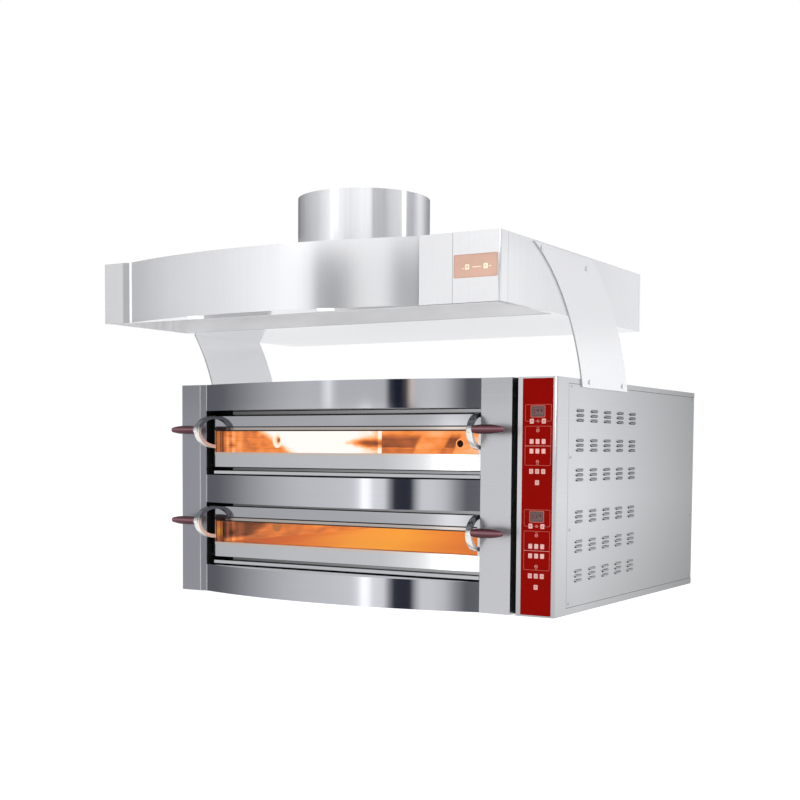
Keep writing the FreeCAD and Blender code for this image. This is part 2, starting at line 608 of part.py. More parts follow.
def hood_fan_motor():
    base = rod(95, 4, (COLLAR_X, COLLAR_Y, MOTOR_LOW), (0, 0, 1))
    body = rod(MOTOR_R, MOTOR_H, (COLLAR_X, COLLAR_Y, MOTOR_LOW), (0, 0, 1))
    bore = rod(SHAFT_R + RUNNING, 40, (COLLAR_X, COLLAR_Y, MOTOR_LOW + MOTOR_H - 30), (0, 0, 1))
    return base.fuse(body).cut(bore)


def hood_fan_impeller():
    rotor = axial_rotor(IMPELLER_R, 50, 8, IMPELLER_H, 2.5, 55)
    rotor = rotor.fuse(rod(SHAFT_R, 32, (0, 0, -28), (0, 0, 1)))
    rotor.translate(Vec(COLLAR_X, COLLAR_Y, MOTOR_LOW + MOTOR_H + 6))
    return rotor


# ---------------------------------------------------------------- hood
SPOT_R, SPOT_Y = 26.0, HOOD_FRONT - 34.0
SPOT_X = [BAY_X - 245.0, BAY_X + 260.0]
HOOD_KEYS = {"key_hood_light": RIGHT - 104.0, "key_hood_fan": RIGHT - 45.0}
HOOD_KEY_Z = HOOD_LOW + 99.5
CAPTURE_L, CAPTURE_R = LEFT + 20.0, RIGHT - 20.0
CAPTURE_FRONT = HOOD_FRONT + 22.0
HOOD_FOLD = 15.0                # how far the hood's front panel folds back


def hood_top():
    """Top of the hood in strips round the collar's hole."""
    y0, y1, z = COLLAR_Y - COLLAR_R, COLLAR_Y + COLLAR_R, HOOD_HIGH - GAUGE
    starts = [(LEFT + GAUGE, BAY_L, HOOD_FRONT + BOW_SET_BACK + GAUGE),
              (BAY_L, BAY_R, HOOD_FRONT + HOOD_FOLD),
              (BAY_R, COLUMN_R, HOOD_FRONT + GAUGE), (COLUMN_R, RIGHT - GAUGE, HOOD_FRONT + HOOD_RETURN)]
    strips = [box(xa, xb, start, y0, z, HOOD_HIGH) for xa, xb, start in starts]
    strips.append(box(LEFT + GAUGE, RIGHT - GAUGE, y1, HOOD_BACK - GAUGE, z, HOOD_HIGH))
    hole = rod(COLLAR_R - GAUGE, 10, (COLLAR_X, COLLAR_Y, z - 5), (0, 0, 1))
    for xa, xb in ((LEFT + GAUGE, COLLAR_X), (COLLAR_X, RIGHT - GAUGE)):
        strips.append(box(xa, xb, y0, y1, z, HOOD_HIGH).cut(hole))
    return strips


def hood_front_pieces():
    """Flat front pieces on both sides of the bow; the left one has the oven's chamfer."""
    bend, low = HOOD_FRONT + BOW_SET_BACK, HOOD_LOW
    plan = [(LEFT + GAUGE, HOOD_FRONT), (BAY_L - CHAMFER, HOOD_FRONT), (BAY_L, bend),
            (BAY_L, bend + GAUGE), (BAY_L - CHAMFER, HOOD_FRONT + GAUGE), (LEFT + GAUGE, HOOD_FRONT + GAUGE)]
    left = prism([(x, y, low) for x, y in plan], (0, 0, HOOD_HIGH - low))
    right = box(BAY_R, COLUMN_R, HOOD_FRONT, HOOD_FRONT + GAUGE, low, HOOD_HIGH)
    edge = box(BAY_R, BAY_R + GAUGE, HOOD_FRONT + GAUGE, HOOD_FRONT + HOOD_FOLD, low, HOOD_HIGH - GAUGE)
    return [left, right, edge]


def hood_floor():
    """Underside: closed behind the capture bay, a margin round the other three sides."""
    low, x0, x1 = HOOD_LOW, LEFT + GAUGE, RIGHT - GAUGE
    areas = [(x0, x1, CAPTURE_BACK, HOOD_BACK - GAUGE), (x0, CAPTURE_L, HOOD_FRONT + GAUGE, CAPTURE_BACK),
             (CAPTURE_R, x1, HOOD_FRONT + HOOD_RETURN, CAPTURE_BACK),
             (CAPTURE_L, BAY_L, HOOD_FRONT + BOW_SET_BACK + GAUGE, CAPTURE_FRONT),
             (BAY_R + GAUGE, COLUMN_R, HOOD_FRONT + GAUGE, CAPTURE_FRONT)]
    return [box(xa, xb, ya, yb, low, low + GAUGE) for xa, xb, ya, yb in areas]


def hood_shell():
    """Hood body of welded sheets: top, sides, rear, flat front pieces and underside."""
    left = box(LEFT, LEFT + GAUGE, HOOD_FRONT, HOOD_BACK, HOOD_LOW, HOOD_HIGH)
    right = box(RIGHT - GAUGE, RIGHT, HOOD_FRONT + HOOD_RETURN, HOOD_BACK, HOOD_LOW, HOOD_HIGH)
    rear = box(LEFT + GAUGE, RIGHT - GAUGE, HOOD_BACK - GAUGE, HOOD_BACK, HOOD_LOW, HOOD_HIGH)
    sides = []
    for side, sheet in ((-1, left), (1, right)):
        holes = [rod(SCREW_R, 10, (side * RIGHT - 5, y, z), (1, 0, 0)) for y, z in BLADE_HOOD_SCREWS]
        sides.append(sheet.cut(Part.makeCompound(holes)))
    return sides + [rear] + hood_top() + hood_front_pieces() + hood_floor()


def hood_front_panel():
    panel = bow_panel(HOOD_LOW, HOOD_HIGH, HOOD_FRONT + BOW_SET_BACK, HOOD_FRONT + HOOD_FOLD)
    holes = [rod(SPOT_R, 10, (x, SPOT_Y, HOOD_LOW - 5), (0, 0, 1)) for x in SPOT_X]
    return panel.cut(Part.makeCompound(holes))


def hood_control_panel():
    """Flat panel with a folded side return, top and bottom, and two key holes."""
    start, back = COLUMN_R + SEAM, HOOD_FRONT + HOOD_RETURN - SEAM
    panel = box(start, RIGHT, HOOD_FRONT, back, HOOD_LOW, HOOD_HIGH)
    panel = round_edge(panel, RIGHT, HOOD_FRONT, 6.0)
    panel = panel.cut(box(start - 1, RIGHT - GAUGE, HOOD_FRONT + GAUGE, back + 1,
                          HOOD_LOW + GAUGE, HOOD_HIGH - GAUGE))
    cuts = [key_hole(x, HOOD_KEY_Z, HOOD_FRONT) for x in HOOD_KEYS.values()]
    cuts.append(box(COLUMN_R - 1, CAPTURE_R, CAPTURE_FRONT, HOOD_FRONT + 60, HOOD_LOW - 1, HOOD_LOW + 5))
    return panel.cut(Part.makeCompound(cuts))


def hood_spotlights():
    return [rod(SPOT_R - 0.2, 14, (x, SPOT_Y, HOOD_LOW - 1.5), (0, 0, 1)) for x in SPOT_X]


# Section of the capture bay: a low wall at the back, then the filters lean forward and up.
FILTER_Y0, FILTER_Z0 = CAPTURE_BACK - 6.0, HOOD_LOW + 45.0
FILTER_Y1, FILTER_Z1 = CAPTURE_FRONT + 40.0, HOOD_HIGH - 12.0
FILTER_T, FILTERS, SLAT_PITCH = 24.0, 3, 30.0


def hood_plenum():
    """Bent partition between the capture bay and the fan chamber: back wall and end cheeks."""
    wall = box(CAPTURE_L, CAPTURE_R, CAPTURE_BACK, CAPTURE_BACK + GAUGE, HOOD_LOW + GAUGE, FILTER_Z0 + 20)
    front = box(CAPTURE_L, CAPTURE_R, CAPTURE_FRONT - GAUGE, CAPTURE_FRONT, HOOD_LOW + GAUGE,
                HOOD_HIGH - GAUGE)
    cheeks = [box(x, x + GAUGE, CAPTURE_FRONT, CAPTURE_BACK, HOOD_LOW + GAUGE, HOOD_HIGH - GAUGE)
              for x in (CAPTURE_L - GAUGE, CAPTURE_R)]
    return [wall, front] + cheeks


def hood_filters():
    """Three baffle filters, each a frame with slats that run up the slope."""
    run, rise = FILTER_Y0 - FILTER_Y1, FILTER_Z1 - FILTER_Z0
    slope = degrees(atan2(rise, run))
    length = (run ** 2 + rise ** 2) ** 0.5 - 30
    width = (CAPTURE_R - CAPTURE_L) / FILTERS
    filters = []
    for n in range(FILTERS):
        x = CAPTURE_L + n * width + 2
        slab = box(x, x + width - 4, -length, 0, 0, FILTER_T)
        slots = []
        count = int((width - 44) / SLAT_PITCH)
        for k in range(count):
            sx = x + 22 + k * SLAT_PITCH
            slots.append(box(sx, sx + SLAT_PITCH * 0.45, -length + 22, -22, -1, FILTER_T + 1))
        slab = slab.cut(Part.makeCompound(slots))
        slab.rotate(Vec(0, 0, 0), Vec(1, 0, 0), -slope)
        slab.translate(Vec(0, FILTER_Y0 - 14, FILTER_Z0))
        filters.append(slab)
    return filters


def flue_collar():
    wall = tube(COLLAR_R, COLLAR_R - GAUGE, COLLAR_TOP - HOOD_HIGH,
                (COLLAR_X, COLLAR_Y, HOOD_HIGH), (0, 0, 1))
    foot = tube(COLLAR_R + 25, COLLAR_R - GAUGE, 2, (COLLAR_X, COLLAR_Y, HOOD_HIGH), (0, 0, 1))
    return wall.fuse(foot)


# Blades: two arcs in the oven's side planes, from the hood's side down to the oven's top rim.
BLADE_FRONT = [(FRONT - 185.0, 1134.0), (FRONT + 66.0, 951.0), (FRONT + 187.0, 724.0)]
BLADE_REAR = [(FRONT + 573.0, 724.0), (FRONT + 474.0, 928.0), (FRONT + 246.0, 1134.0)]
BLADE_SCREW_Z = HEIGHT - RIM / 2
BLADE_SCREW_Y = (FRONT + 240.0, FRONT + 525.0)
BLADE_HOOD_SCREWS = [(FRONT - 135.0, 1121.0), (FRONT + 200.0, 1100.0)]


def hood_blades():
    blades = []
    for side in (-1, 1):
        x = RIGHT if side > 0 else LEFT - BLADE_T
        points = [[Vec(x, y, z) for y, z in line] for line in (BLADE_FRONT, BLADE_REAR)]
        front = Part.Arc(*points[0]).toShape()
        rear = Part.Arc(*points[1]).toShape()
        outline = Part.Wire([front, Part.makeLine(points[0][2], points[1][0]), rear,
                             Part.makeLine(points[1][2], points[0][0])])
        blade = Part.Face(outline).extrude(Vec(BLADE_T, 0, 0))
        spots = [(y, BLADE_SCREW_Z) for y in BLADE_SCREW_Y] + BLADE_HOOD_SCREWS
        for y, z in spots:
            blade = blade.fuse(rod(7, 3.5, (side * (RIGHT + BLADE_T), y, z), (side, 0, 0)))
            blade = blade.fuse(rod(SCREW_R, 5, (side * RIGHT, y, z), (-side, 0, 0)))
        blades.append(blade)
    return blades


# ---------------------------------------------------------------- write every piece
save("base_tray", base_tray())
save("back_panel", back_panel())
save("top_cover", top_cover())
save("left_side_panel", side_panel(-1))
save("right_side_panel", side_panel(1))
save("left_front_column", left_front_column())
save("right_front_column", right_front_column())
save("control_column", control_column())
save("control_overlay", control_overlay())
save("display_windows", *display_block(FRONT - OVERLAY_T, FRONT + GAUGE))
save("control_boards", *control_boards())
save("case_screws", *case_screws())
for place, (low, high) in BOW_PANELS.items():
    save("front_panel_" + place, bow_panel(low, high, FRONT + BOW_SET_BACK, FRONT + COLUMN_DEPTH))
save("baking_stones", *baking_stones())
save("heating_elements", *heating_elements())
save("chamber_lamps", *chamber_lamps())
save("insulation", *insulation())
save("steam_outlets", *steam_outlets())
save("cable_gland", cable_gland())
save("door_sills", *door_sills())
save("door_recess_linings", *door_recess_linings())
save("door_hinge_pins", *door_hinge_pins())
for deck, height in DECKS.items():
    save(deck + "_chamber_liner", *liner(height))
    save(deck + "_door_frame", door_frame(height))
    save(deck + "_door_glass", *door_glass(height))
    save(deck + "_handle_bows", handle_bow(height, -1), handle_bow(height, 1))
    save(deck + "_handle_grips", handle_grip(height, -1), handle_grip(height, 1))
for name, x, z in key_points():
    save(name, key_solid(x, z, FRONT - OVERLAY_T))
save("cooling_fan_frame", cooling_fan_frame())
save("cooling_fan_rotor", cooling_fan_rotor())
save("hood_shell", *hood_shell())
save("hood_front_panel", hood_front_panel())
save("hood_control_panel", hood_control_panel())
save("hood_spotlights", *hood_spotlights())
save("hood_plenum", *hood_plenum())
save("hood_filters", *hood_filters())
save("hood_fan_motor", hood_fan_motor())
save("hood_fan_impeller", hood_fan_impeller())
save("flue_collar", flue_collar())
save("hood_blades", *hood_blades())
for name, x in HOOD_KEYS.items():
    save(name, key_solid(x, HOOD_KEY_Z, HOOD_FRONT))
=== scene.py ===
import json
import math

import bmesh
import bpy
from mathutils import Matrix, Vector


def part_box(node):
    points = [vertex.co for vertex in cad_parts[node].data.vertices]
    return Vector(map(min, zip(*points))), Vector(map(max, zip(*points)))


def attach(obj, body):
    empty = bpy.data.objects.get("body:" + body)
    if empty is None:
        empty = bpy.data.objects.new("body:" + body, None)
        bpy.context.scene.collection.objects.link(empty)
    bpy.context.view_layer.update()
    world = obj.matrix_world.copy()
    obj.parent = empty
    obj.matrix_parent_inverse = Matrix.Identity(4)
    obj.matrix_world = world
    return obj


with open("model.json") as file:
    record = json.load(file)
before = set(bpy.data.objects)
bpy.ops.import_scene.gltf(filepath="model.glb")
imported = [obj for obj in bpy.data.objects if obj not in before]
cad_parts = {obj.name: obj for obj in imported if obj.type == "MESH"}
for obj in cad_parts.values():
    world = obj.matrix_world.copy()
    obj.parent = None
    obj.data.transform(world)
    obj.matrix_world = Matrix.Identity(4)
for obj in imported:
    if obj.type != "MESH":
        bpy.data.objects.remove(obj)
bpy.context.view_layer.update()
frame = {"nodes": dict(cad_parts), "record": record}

NODES = frame["nodes"]
SLOT_OF = {s["node"]: s["material_slot"] for s in frame["record"]["subparts"]}
SCENE = bpy.context.scene


# ------------------------------------------------------------------ camera, floor, light
CAMERA_AT = Vector((2.4067, -4.3099, 0.5211))
CAMERA_YAW, CAMERA_PITCH, CAMERA_ROLL = (math.radians(a) for a in (31.2147, -3.3708, 0.3978))
CAMERA_LENS, CAMERA_SHIFT_Y = 58.149, 0.157


def make_camera():
    """A level product shot from the front right, with the lens raised a little by shift."""
    ahead = Vector((-math.sin(CAMERA_YAW) * math.cos(CAMERA_PITCH),
                    math.cos(CAMERA_YAW) * math.cos(CAMERA_PITCH), math.sin(CAMERA_PITCH)))
    right = ahead.cross(Vector((0, 0, 1))).normalized()
    up = right.cross(ahead)
    c, s = math.cos(CAMERA_ROLL), math.sin(CAMERA_ROLL)
    right, up = c * right + s * up, c * up - s * right
    data = bpy.data.cameras.new("camera")
    data.lens, data.sensor_width, data.shift_y = CAMERA_LENS, 36.0, CAMERA_SHIFT_Y
    camera = bpy.data.objects.new("camera", data)
    camera.matrix_world = Matrix.Translation(CAMERA_AT) @ Matrix((right, up, -ahead)).transposed().to_4x4()
    SCENE.collection.objects.link(camera)
    SCENE.camera = camera


# ------------------------------------------------------------------ node helpers
class Nodes:
    """Thin wrapper that adds and links shader nodes."""

    def __init__(self, tree):
        self.tree = tree
        tree.nodes.clear()

    def add(self, kind, **settings):
        node = self.tree.nodes.new(kind)
        for key, value in settings.items():
            if key in node.inputs:
                node.inputs[key].default_value = value
            else:
                setattr(node, key, value)
        return node

    def link(self, source, target):
        self.tree.links.new(source, target)
        return target.node

    def math(self, operation, a, b=None, c=None, clamp=False):
        node = self.add("ShaderNodeMath", operation=operation, use_clamp=clamp)
        for socket, value in zip(node.inputs, (a, b, c)):
            if isinstance(value, (int, float)):
                socket.default_value = value
            elif value is not None:
                self.link(value, socket)
        return node.outputs[0]

    def ramp(self, factor, stops, interpolation="LINEAR"):
        node = self.add("ShaderNodeValToRGB")
        node.color_ramp.interpolation = interpolation
        elements = node.color_ramp.elements
        while len(elements) < len(stops):
            elements.new(0.5)
        for element, (position, color) in zip(elements, sorted(stops, key=lambda s: s[0])):
            element.position = position
            element.color = color if len(color) == 4 else (*color, 1.0)
        self.link(factor, node.inputs[0])
        return node.outputs[0]

    def noise(self, vector, scale, detail=3.0, rough=0.5):
        node = self.add("ShaderNodeTexNoise")
        node.inputs["Scale"].default_value = scale
        node.inputs["Detail"].default_value = detail
        node.inputs["Roughness"].default_value = rough
        self.link(vector, node.inputs["Vector"])
        return node.outputs["Fac"]

    def stretched(self, scale):
        """Object coordinates, stretched by a different amount along each axis."""
        place = self.add("ShaderNodeTexCoord")
        mapping = self.add("ShaderNodeMapping")
        mapping.inputs["Scale"].default_value = scale
        self.link(place.outputs["Object"], mapping.inputs["Vector"])
        return mapping.outputs["Vector"]

    def mix(self, factor, a, b, blend="MIX"):
        node = self.add("ShaderNodeMix", data_type="RGBA", blend_type=blend)
        for name, value in (("Factor", factor), ("A", a), ("B", b)):
            socket = [s for s in node.inputs if s.name == name and s.enabled][0]
            if isinstance(value, bpy.types.NodeSocket):
                self.link(value, socket)
            else:
                socket.default_value = value if name == "Factor" else (*value, 1.0)
        return [s for s in node.outputs if s.enabled][0]


def grey(v):
    return (v, v, v)


# World: what polished steel sees is a ring of soft light cards and dark flags, given as
# brightness against compass angle (degrees from straight ahead of the oven, + to its right).
# LOW is seen by surfaces below the lens height, HIGH just above it, TOP by the hood,
# COLLAR by the flue collar.
LAMP_TINT = (0.88, 0.74, 0.63)          # the one warm lamp among them
COOL_SPILL = (0.012, 0.017, 0.033)      # bluish light that fills the dark flags a little
CEILING, PAPER, SOFT_LIGHT = 0.74, 0.92, 0.62
RING_LOW = [
    (-180, 1.0), (-120, 0.9), (-92, 0.30), (-76, 0.13), (-70, 0.15), (-65, 0.23), (-60, 0.36),
    (-55, 0.48), (-50, 0.59), (-45, 0.68), (-40, 0.755), (-32, 0.79), (-26, 0.85), (-24.2, 0.95),
    (-22.6, 1.6), (-21.2, 1.55), (-19.8, 1.05), (-16.4, 0.93), (-14.9, 0.03), (-9.6, 0.02),
    (-7.6, 0.88), (-4, 0.88), (-1, 0.74), (1.7, 0.37), (4.5, 0.13), (9, 0.24), (24, 0.9), (60, 0.6),
    (120, 0.9), (150, 1.2), (163, 0.85), (172, 0.9),
]
RING_HIGH = [
    (-180, 0.72), (-92, 0.30), (-76, 0.13), (-68, 0.15), (-60, 0.30), (-50, 0.52), (-45, 0.61),
    (-40, 0.68), (-34.4, 0.68), (-33.2, 1.15), (-31.8, 1.15), (-30.6, 0.64), (-16.4, 0.62),
    (-15.4, 0.0), (-11.3, 0.0), (-10.8, LAMP_TINT), (-9.4, LAMP_TINT), (-8.6, 0.70), (-4, 0.76), (-1, 0.66),
    (1.7, 0.33), (4.5, 0.10), (9, 0.20), (24, 0.9), (60, 0.6), (120, 0.9), (153, 0.95), (165, 0.8),
]
RING_TOP = [
    (-180, 0.62), (-107, 0.6), (-80, 0.27), (-74, 0.31), (-60, 0.56), (-45, 0.72), (-33, 0.93),
    (-26, 1.08), (-21.5, 0.86), (-19.5, 0.12), (-17.5, 0.0), (-15, 0.0), (-13, 0.10), (-9, 0.62),
    (-5, 0.70), (-2.5, 0.60), (-0.5, 0.08), (2, 0.04), (8, 0.12), (20, 0.5), (60, 0.30), (120, 0.40),
    (150, 0.88), (153.4, 0.86), (154.6, 0.62), (157, 0.62), (160, 0.74), (170, 0.75),
]
RING_COLLAR = [
    (-180, 0.15), (-124, 0.04), (-100, 0.14), (-82, 0.30), (-59, 0.44), (-48, 0.62), (-37, 0.82),
    (-30, 0.95), (-26, 1.30), (-14, 1.30), (-8, 0.95), (10, 0.86), (35, 0.98), (43, 0.90), (49, 0.24),
    (60, 0.22), (72, 0.25), (78, 0.45), (95, 0.58), (101, 0.65), (103, 1.5), (109, 1.5), (112, 0.26),
    (124, 0.16), (132, 0.35), (145, 0.75), (152, 0.68), (165, 0.30), (174, 0.15),
]


def make_world():
    world = bpy.data.worlds.new("studio")
    world.use_nodes = True
    SCENE.world = world
    n = Nodes(world.node_tree)
    place = n.add("ShaderNodeTexCoord")
    split = n.add("ShaderNodeSeparateXYZ")
    n.link(place.outputs["Generated"], split.inputs[0])
    x, y, z = split.outputs
    angle = n.math("ARCTAN2", x, n.math("MULTIPLY", y, -1.0))
    turn = n.math("MULTIPLY_ADD", angle, 0.5 / math.pi, 0.5)
    low, high, top, collar = [
        n.ramp(turn, [((a + 180) / 360, v if isinstance(v, tuple) else grey(v)) for a, v in ring])
        for ring in (RING_LOW, RING_HIGH, RING_TOP, RING_COLLAR)]

    def rising(start, end):
        """0 below the height start, 1 above end, for the ray's own rise."""
        return n.math("MULTIPLY", n.math("SUBTRACT", z, start), 1.0 / (end - start), clamp=True)

    ring = n.mix(rising(0.024, 0.036), low, high)
    ring = n.mix(rising(0.072, 0.095), ring, top)
    ring = n.mix(rising(0.145, 0.16), ring, collar)
    ring = n.mix(1.0, ring, COOL_SPILL, "ADD")
    ring = n.mix(rising(0.26, 0.60), ring, grey(CEILING))
    ring = n.mix(rising(-0.16, -0.34), ring, grey(PAPER))
    path = n.add("ShaderNodeLightPath")
    soft = n.mix(path.outputs["Is Glossy Ray"], grey(SOFT_LIGHT), ring)
    seen = n.mix(path.outputs["Is Camera Ray"], soft, grey(1.0))
    background = n.add("ShaderNodeBackground")
    n.link(seen, background.inputs["Color"])
    out = n.add("ShaderNodeOutputWorld")
    n.link(background.outputs[0], out.inputs[0])


def make_floor():
    """White paper sweep: a little of its own light stands for the lamps under the paper."""
    mesh = bpy.data.meshes.new("floor")
    half = 14.0
    corners = [(-half, -half, 0), (half, -half, 0), (half, half, 0), (-half, half, 0)]
    mesh.from_pydata(corners, [], [(0, 1, 2, 3)])
    floor = bpy.data.objects.new("floor", mesh)
    SCENE.collection.objects.link(floor)
    floor.visible_glossy = False
    floor.location.z = -0.0005
    material, n, bsdf = new_material("floor_paper")
    tone = n.noise(n.stretched((1, 1, 1)), 3.0)
    n.link(n.ramp(tone, [(0.3, grey(0.80)), (0.7, grey(0.82))]), bsdf.inputs["Base Color"])
    bsdf.inputs["Roughness"].default_value = 0.9
    bsdf.inputs["Emission Color"].default_value = (1, 1, 1, 1)
    bsdf.inputs["Emission Strength"].default_value = 0.55
    mesh.materials.append(material)


def area_light(name, at, target, size, power, color=(1, 1, 1)):
    data = bpy.data.lights.new(name, "AREA")
    data.shape, data.size, data.size_y = "RECTANGLE", size[0], size[1]
    data.energy, data.color = power, color
    light = bpy.data.objects.new(name, data)
    light.location = at
    light.rotation_euler = (Vector(target) - Vector(at)).to_track_quat("-Z", "Y").to_euler()
    SCENE.collection.objects.link(light)
    light.visible_glossy = False
    return light


def make_lights():
    key = area_light("key", (3.2, -4.2, 3.6), (0, -0.4, 0.4), (3.0, 2.0), 90)
    key.visible_glossy = True
    area_light("fill", (-3.6, -3.6, 2.4), (0, -0.4, 0.5), (3.0, 2.5), 40)
    area_light("side", (4.5, 0.2, 2.4), (0.7, 0, 0.4), (2.5, 2.5), 50)


# ------------------------------------------------------------------ materials
def new_material(name):
    material = bpy.data.materials.new(name)
    material.use_nodes = True
    n = Nodes(material.node_tree)
    bsdf = n.add("ShaderNodeBsdfPrincipled")
    out = n.add("ShaderNodeOutputMaterial")
    n.link(bsdf.outputs[0], out.inputs[0])
    return material, n, bsdf


def bump(n, bsdf, height, strength, distance, under=None):
    node = n.add("ShaderNodeBump")
    node.inputs["Strength"].default_value = strength
    node.inputs["Distance"].default_value = distance
    n.link(height, node.inputs["Height"])
    if under is not None:
        n.link(under, node.inputs["Normal"])
    n.link(node.outputs[0], bsdf.inputs["Normal"])
    return node.outputs[0]


def axes(n):
    """The three object coordinates as sockets."""
    place = n.add("ShaderNodeTexCoord")
    split = n.add("ShaderNodeSeparateXYZ")
    n.link(place.outputs["Object"], split.inputs[0])
    return split.outputs


def fade(n, value, start, end):
    """0 at start, 1 at end, straight between."""
    return n.math("MULTIPLY", n.math("SUBTRACT", value, start), 1.0 / (end - start), clamp=True)


def steel(name, tint, rough, grain, metallic=1.0, contrast=0.05, depth=0.00006, painted_shades=(), spill=0.0):
    """Brushed sheet: fine parallel grain, slow cloudy variation and faint wipe marks.

    each shade = (axis, start, end, tint at the start) is painted shade that darkens towards one end of the
    object;
    spill = painted light thrown on it by the hood lamps, given as emission.
    """
    material, n, bsdf = new_material(name)
    bsdf.inputs["Metallic"].default_value = metallic
    bsdf.inputs["Emission Color"].default_value = (*tint, 1.0)
    bsdf.inputs["Emission Strength"].default_value = spill
    fine = n.noise(n.stretched(grain), 1.0, 4.0, 0.6)
    cloud = n.noise(n.stretched((1, 1, 1)), 2.3, 3.0, 0.55)
    light = tuple(min(1.0, c * (1 + contrast)) for c in tint)
    dark = tuple(c * (1 - contrast) for c in tint)
    color = n.ramp(fine, [(0.25, dark), (0.75, light)])
    mottle = n.ramp(cloud, [(0.3, grey(0.95)), (0.7, grey(1.0))])
    color = n.mix(1.0, color, mottle, "MULTIPLY")
    # painted shade: each entry darkens the colour towards one end of the object
    for axis, start, end, low in painted_shades:
        color = n.mix(fade(n, axes(n)[axis], start, end), n.mix(1.0, color, low, "MULTIPLY"), color)
    n.link(color, bsdf.inputs["Base Color"])
    spread = n.math("MULTIPLY_ADD", fine, rough * 0.4, rough * 0.65)
    n.link(n.math("MULTIPLY_ADD", cloud, rough * 0.3, spread), bsdf.inputs["Roughness"])
    bump(n, bsdf, fine, 0.25, depth)
    return material


def moulded(name, tint, rough, grain=900.0, depth=0.00005, spots=0.08, gloss=0.5):
    """Moulded plastic or paint: even colour with a faint mottle and a fine surface texture."""
    material, n, bsdf = new_material(name)
    place = n.stretched((1, 1, 1))
    cloud = n.noise(place, 14.0, 4.0)
    fine = n.noise(place, grain, 2.0)
    low = tuple(c * (1 - spots) for c in tint)
    high = tuple(min(1.0, c * (1 + spots)) for c in tint)
    n.link(n.ramp(cloud, [(0.3, low), (0.7, high)]), bsdf.inputs["Base Color"])
    n.link(n.math("MULTIPLY_ADD", fine, rough * 0.25, rough * 0.85), bsdf.inputs["Roughness"])
    bsdf.inputs["Specular IOR Level"].default_value = gloss
    bump(n, bsdf, fine, 0.3, depth)
    return material


def sill_steel(name, tint, rough):
    """Polished sills; the slim bars set back behind them are duller and darkened by painted shade, most at
    the left end.
    """
    material, n, bsdf = new_material(name)
    bsdf.inputs["Metallic"].default_value = 1.0
    fine = n.noise(n.stretched(HORIZONTAL), 1.0, 4.0, 0.6)
    bright = n.ramp(fine, [(0.25, tuple(c * 0.95 for c in tint)), (0.75, tint)])
    x, y, _ = axes(n)
    # painted shade on the set-back bars: nearly black at the left end, mid grey at the right
    deep = n.math("GREATER_THAN", y, SILL_BACK)
    bar_shade = n.mix(fade(n, x, BAY_L, BAY_R), grey(0.14), grey(0.62))
    n.link(n.mix(deep, bright, bar_shade), bsdf.inputs["Base Color"])
    n.link(n.math("MULTIPLY_ADD", deep, 0.3, rough), bsdf.inputs["Roughness"])
    bump(n, bsdf, fine, 0.25, 0.00003)
    return material


def door_steel(name, tint, rough):
    """Door sheet, gently crowned across its width; a painted reflection of the chamber glow tints the lips
    round the window warm, a painted highlight lightens the right of the bottom rail, and painted shade
    darkens the top rail.
    """
    material, n, bsdf = new_material(name)
    bsdf.inputs["Metallic"].default_value = 1.0
    fine = n.noise(n.stretched(HORIZONTAL), 1.0, 4.0, 0.6)
    cloud = n.noise(n.stretched((1, 1, 4)), 2.3, 3.0, 0.55)
    color = n.ramp(fine, [(0.25, tuple(c * 0.96 for c in tint)), (0.75, tint)])
    color = n.mix(1.0, color, n.ramp(cloud, [(0.3, grey(0.94)), (0.7, grey(1.0))]), "MULTIPLY")
    x, _, z = axes(n)
    deck = n.math("MODULO", n.math("SUBTRACT", z, DOOR_Z), DECK_PITCH)
    # painted reflection: the chamber glow tints the window lips warm
    lip_glow = n.ramp(n.math("DIVIDE", deck, DECK_PITCH),
                  [(0.0, grey(1.0)), (0.0440 / DECK_PITCH, LIP_GLOW_REFLECTION), (0.0540 / DECK_PITCH, grey(1.0)),
                   (0.1320 / DECK_PITCH, LIP_GLOW_REFLECTION), (0.1425 / DECK_PITCH, grey(1.0))], "CONSTANT")
    color = n.mix(1.0, color, lip_glow, "MULTIPLY")
    # painted shade: the top rail, above the window, is darkened by RAIL_SHADE
    rail = n.math("GREATER_THAN", deck, WINDOW_TOP)
    # painted highlight: the bottom rail turns pale grey towards its right end
    rail_highlight = n.math("MULTIPLY", fade(n, x, 0.10, 0.34), n.math("LESS_THAN", deck, WINDOW_LOW))
    color = n.mix(rail_highlight, color, grey(0.96))
    shaded = n.mix(1.0, color, RAIL_SHADE, "MULTIPLY")
    n.link(n.mix(rail, color, shaded), bsdf.inputs["Base Color"])
    n.link(n.math("MULTIPLY_ADD", cloud, rough * 0.5, rough * 0.7), bsdf.inputs["Roughness"])
    across = n.math("SUBTRACT", x, BAY_X)
    under = bump(n, bsdf, n.math("MULTIPLY", n.math("MULTIPLY", across, across), -DOOR_CROWN), 1.0, 1.0)
    bump(n, bsdf, fine, 0.25, 0.00002, under)
    return material


def glazing(name, tint, rough=0.02, skin=0.13):
    """Clear pane: see-through, with a mirror-like skin that grows at shallow angles."""
    material, n, bsdf = new_material(name)
    smear = n.noise(n.stretched((3, 3, 8)), 1.0, 4.0)
    bright = tuple(min(1.0, c * 1.05) for c in tint)
    n.link(n.ramp(smear, [(0.3, tint), (0.7, bright)]), bsdf.inputs["Base Color"])
    n.link(n.math("MULTIPLY_ADD", smear, 0.03, rough), bsdf.inputs["Roughness"])
    bsdf.inputs["Metallic"].default_value = 1.0
    edge = n.add("ShaderNodeFresnel", IOR=1.45)
    n.link(n.math("MULTIPLY", edge.outputs[0], skin), bsdf.inputs["Alpha"])
    return material


def bell(n, value, centre, width):
    """Smooth hump, 1 at the centre."""
    off = n.math("MULTIPLY", n.math("SUBTRACT", value, centre), 1.0 / width)
    return n.math("EXPONENT", n.math("MULTIPLY", n.math("MULTIPLY", off, off), -1.0))


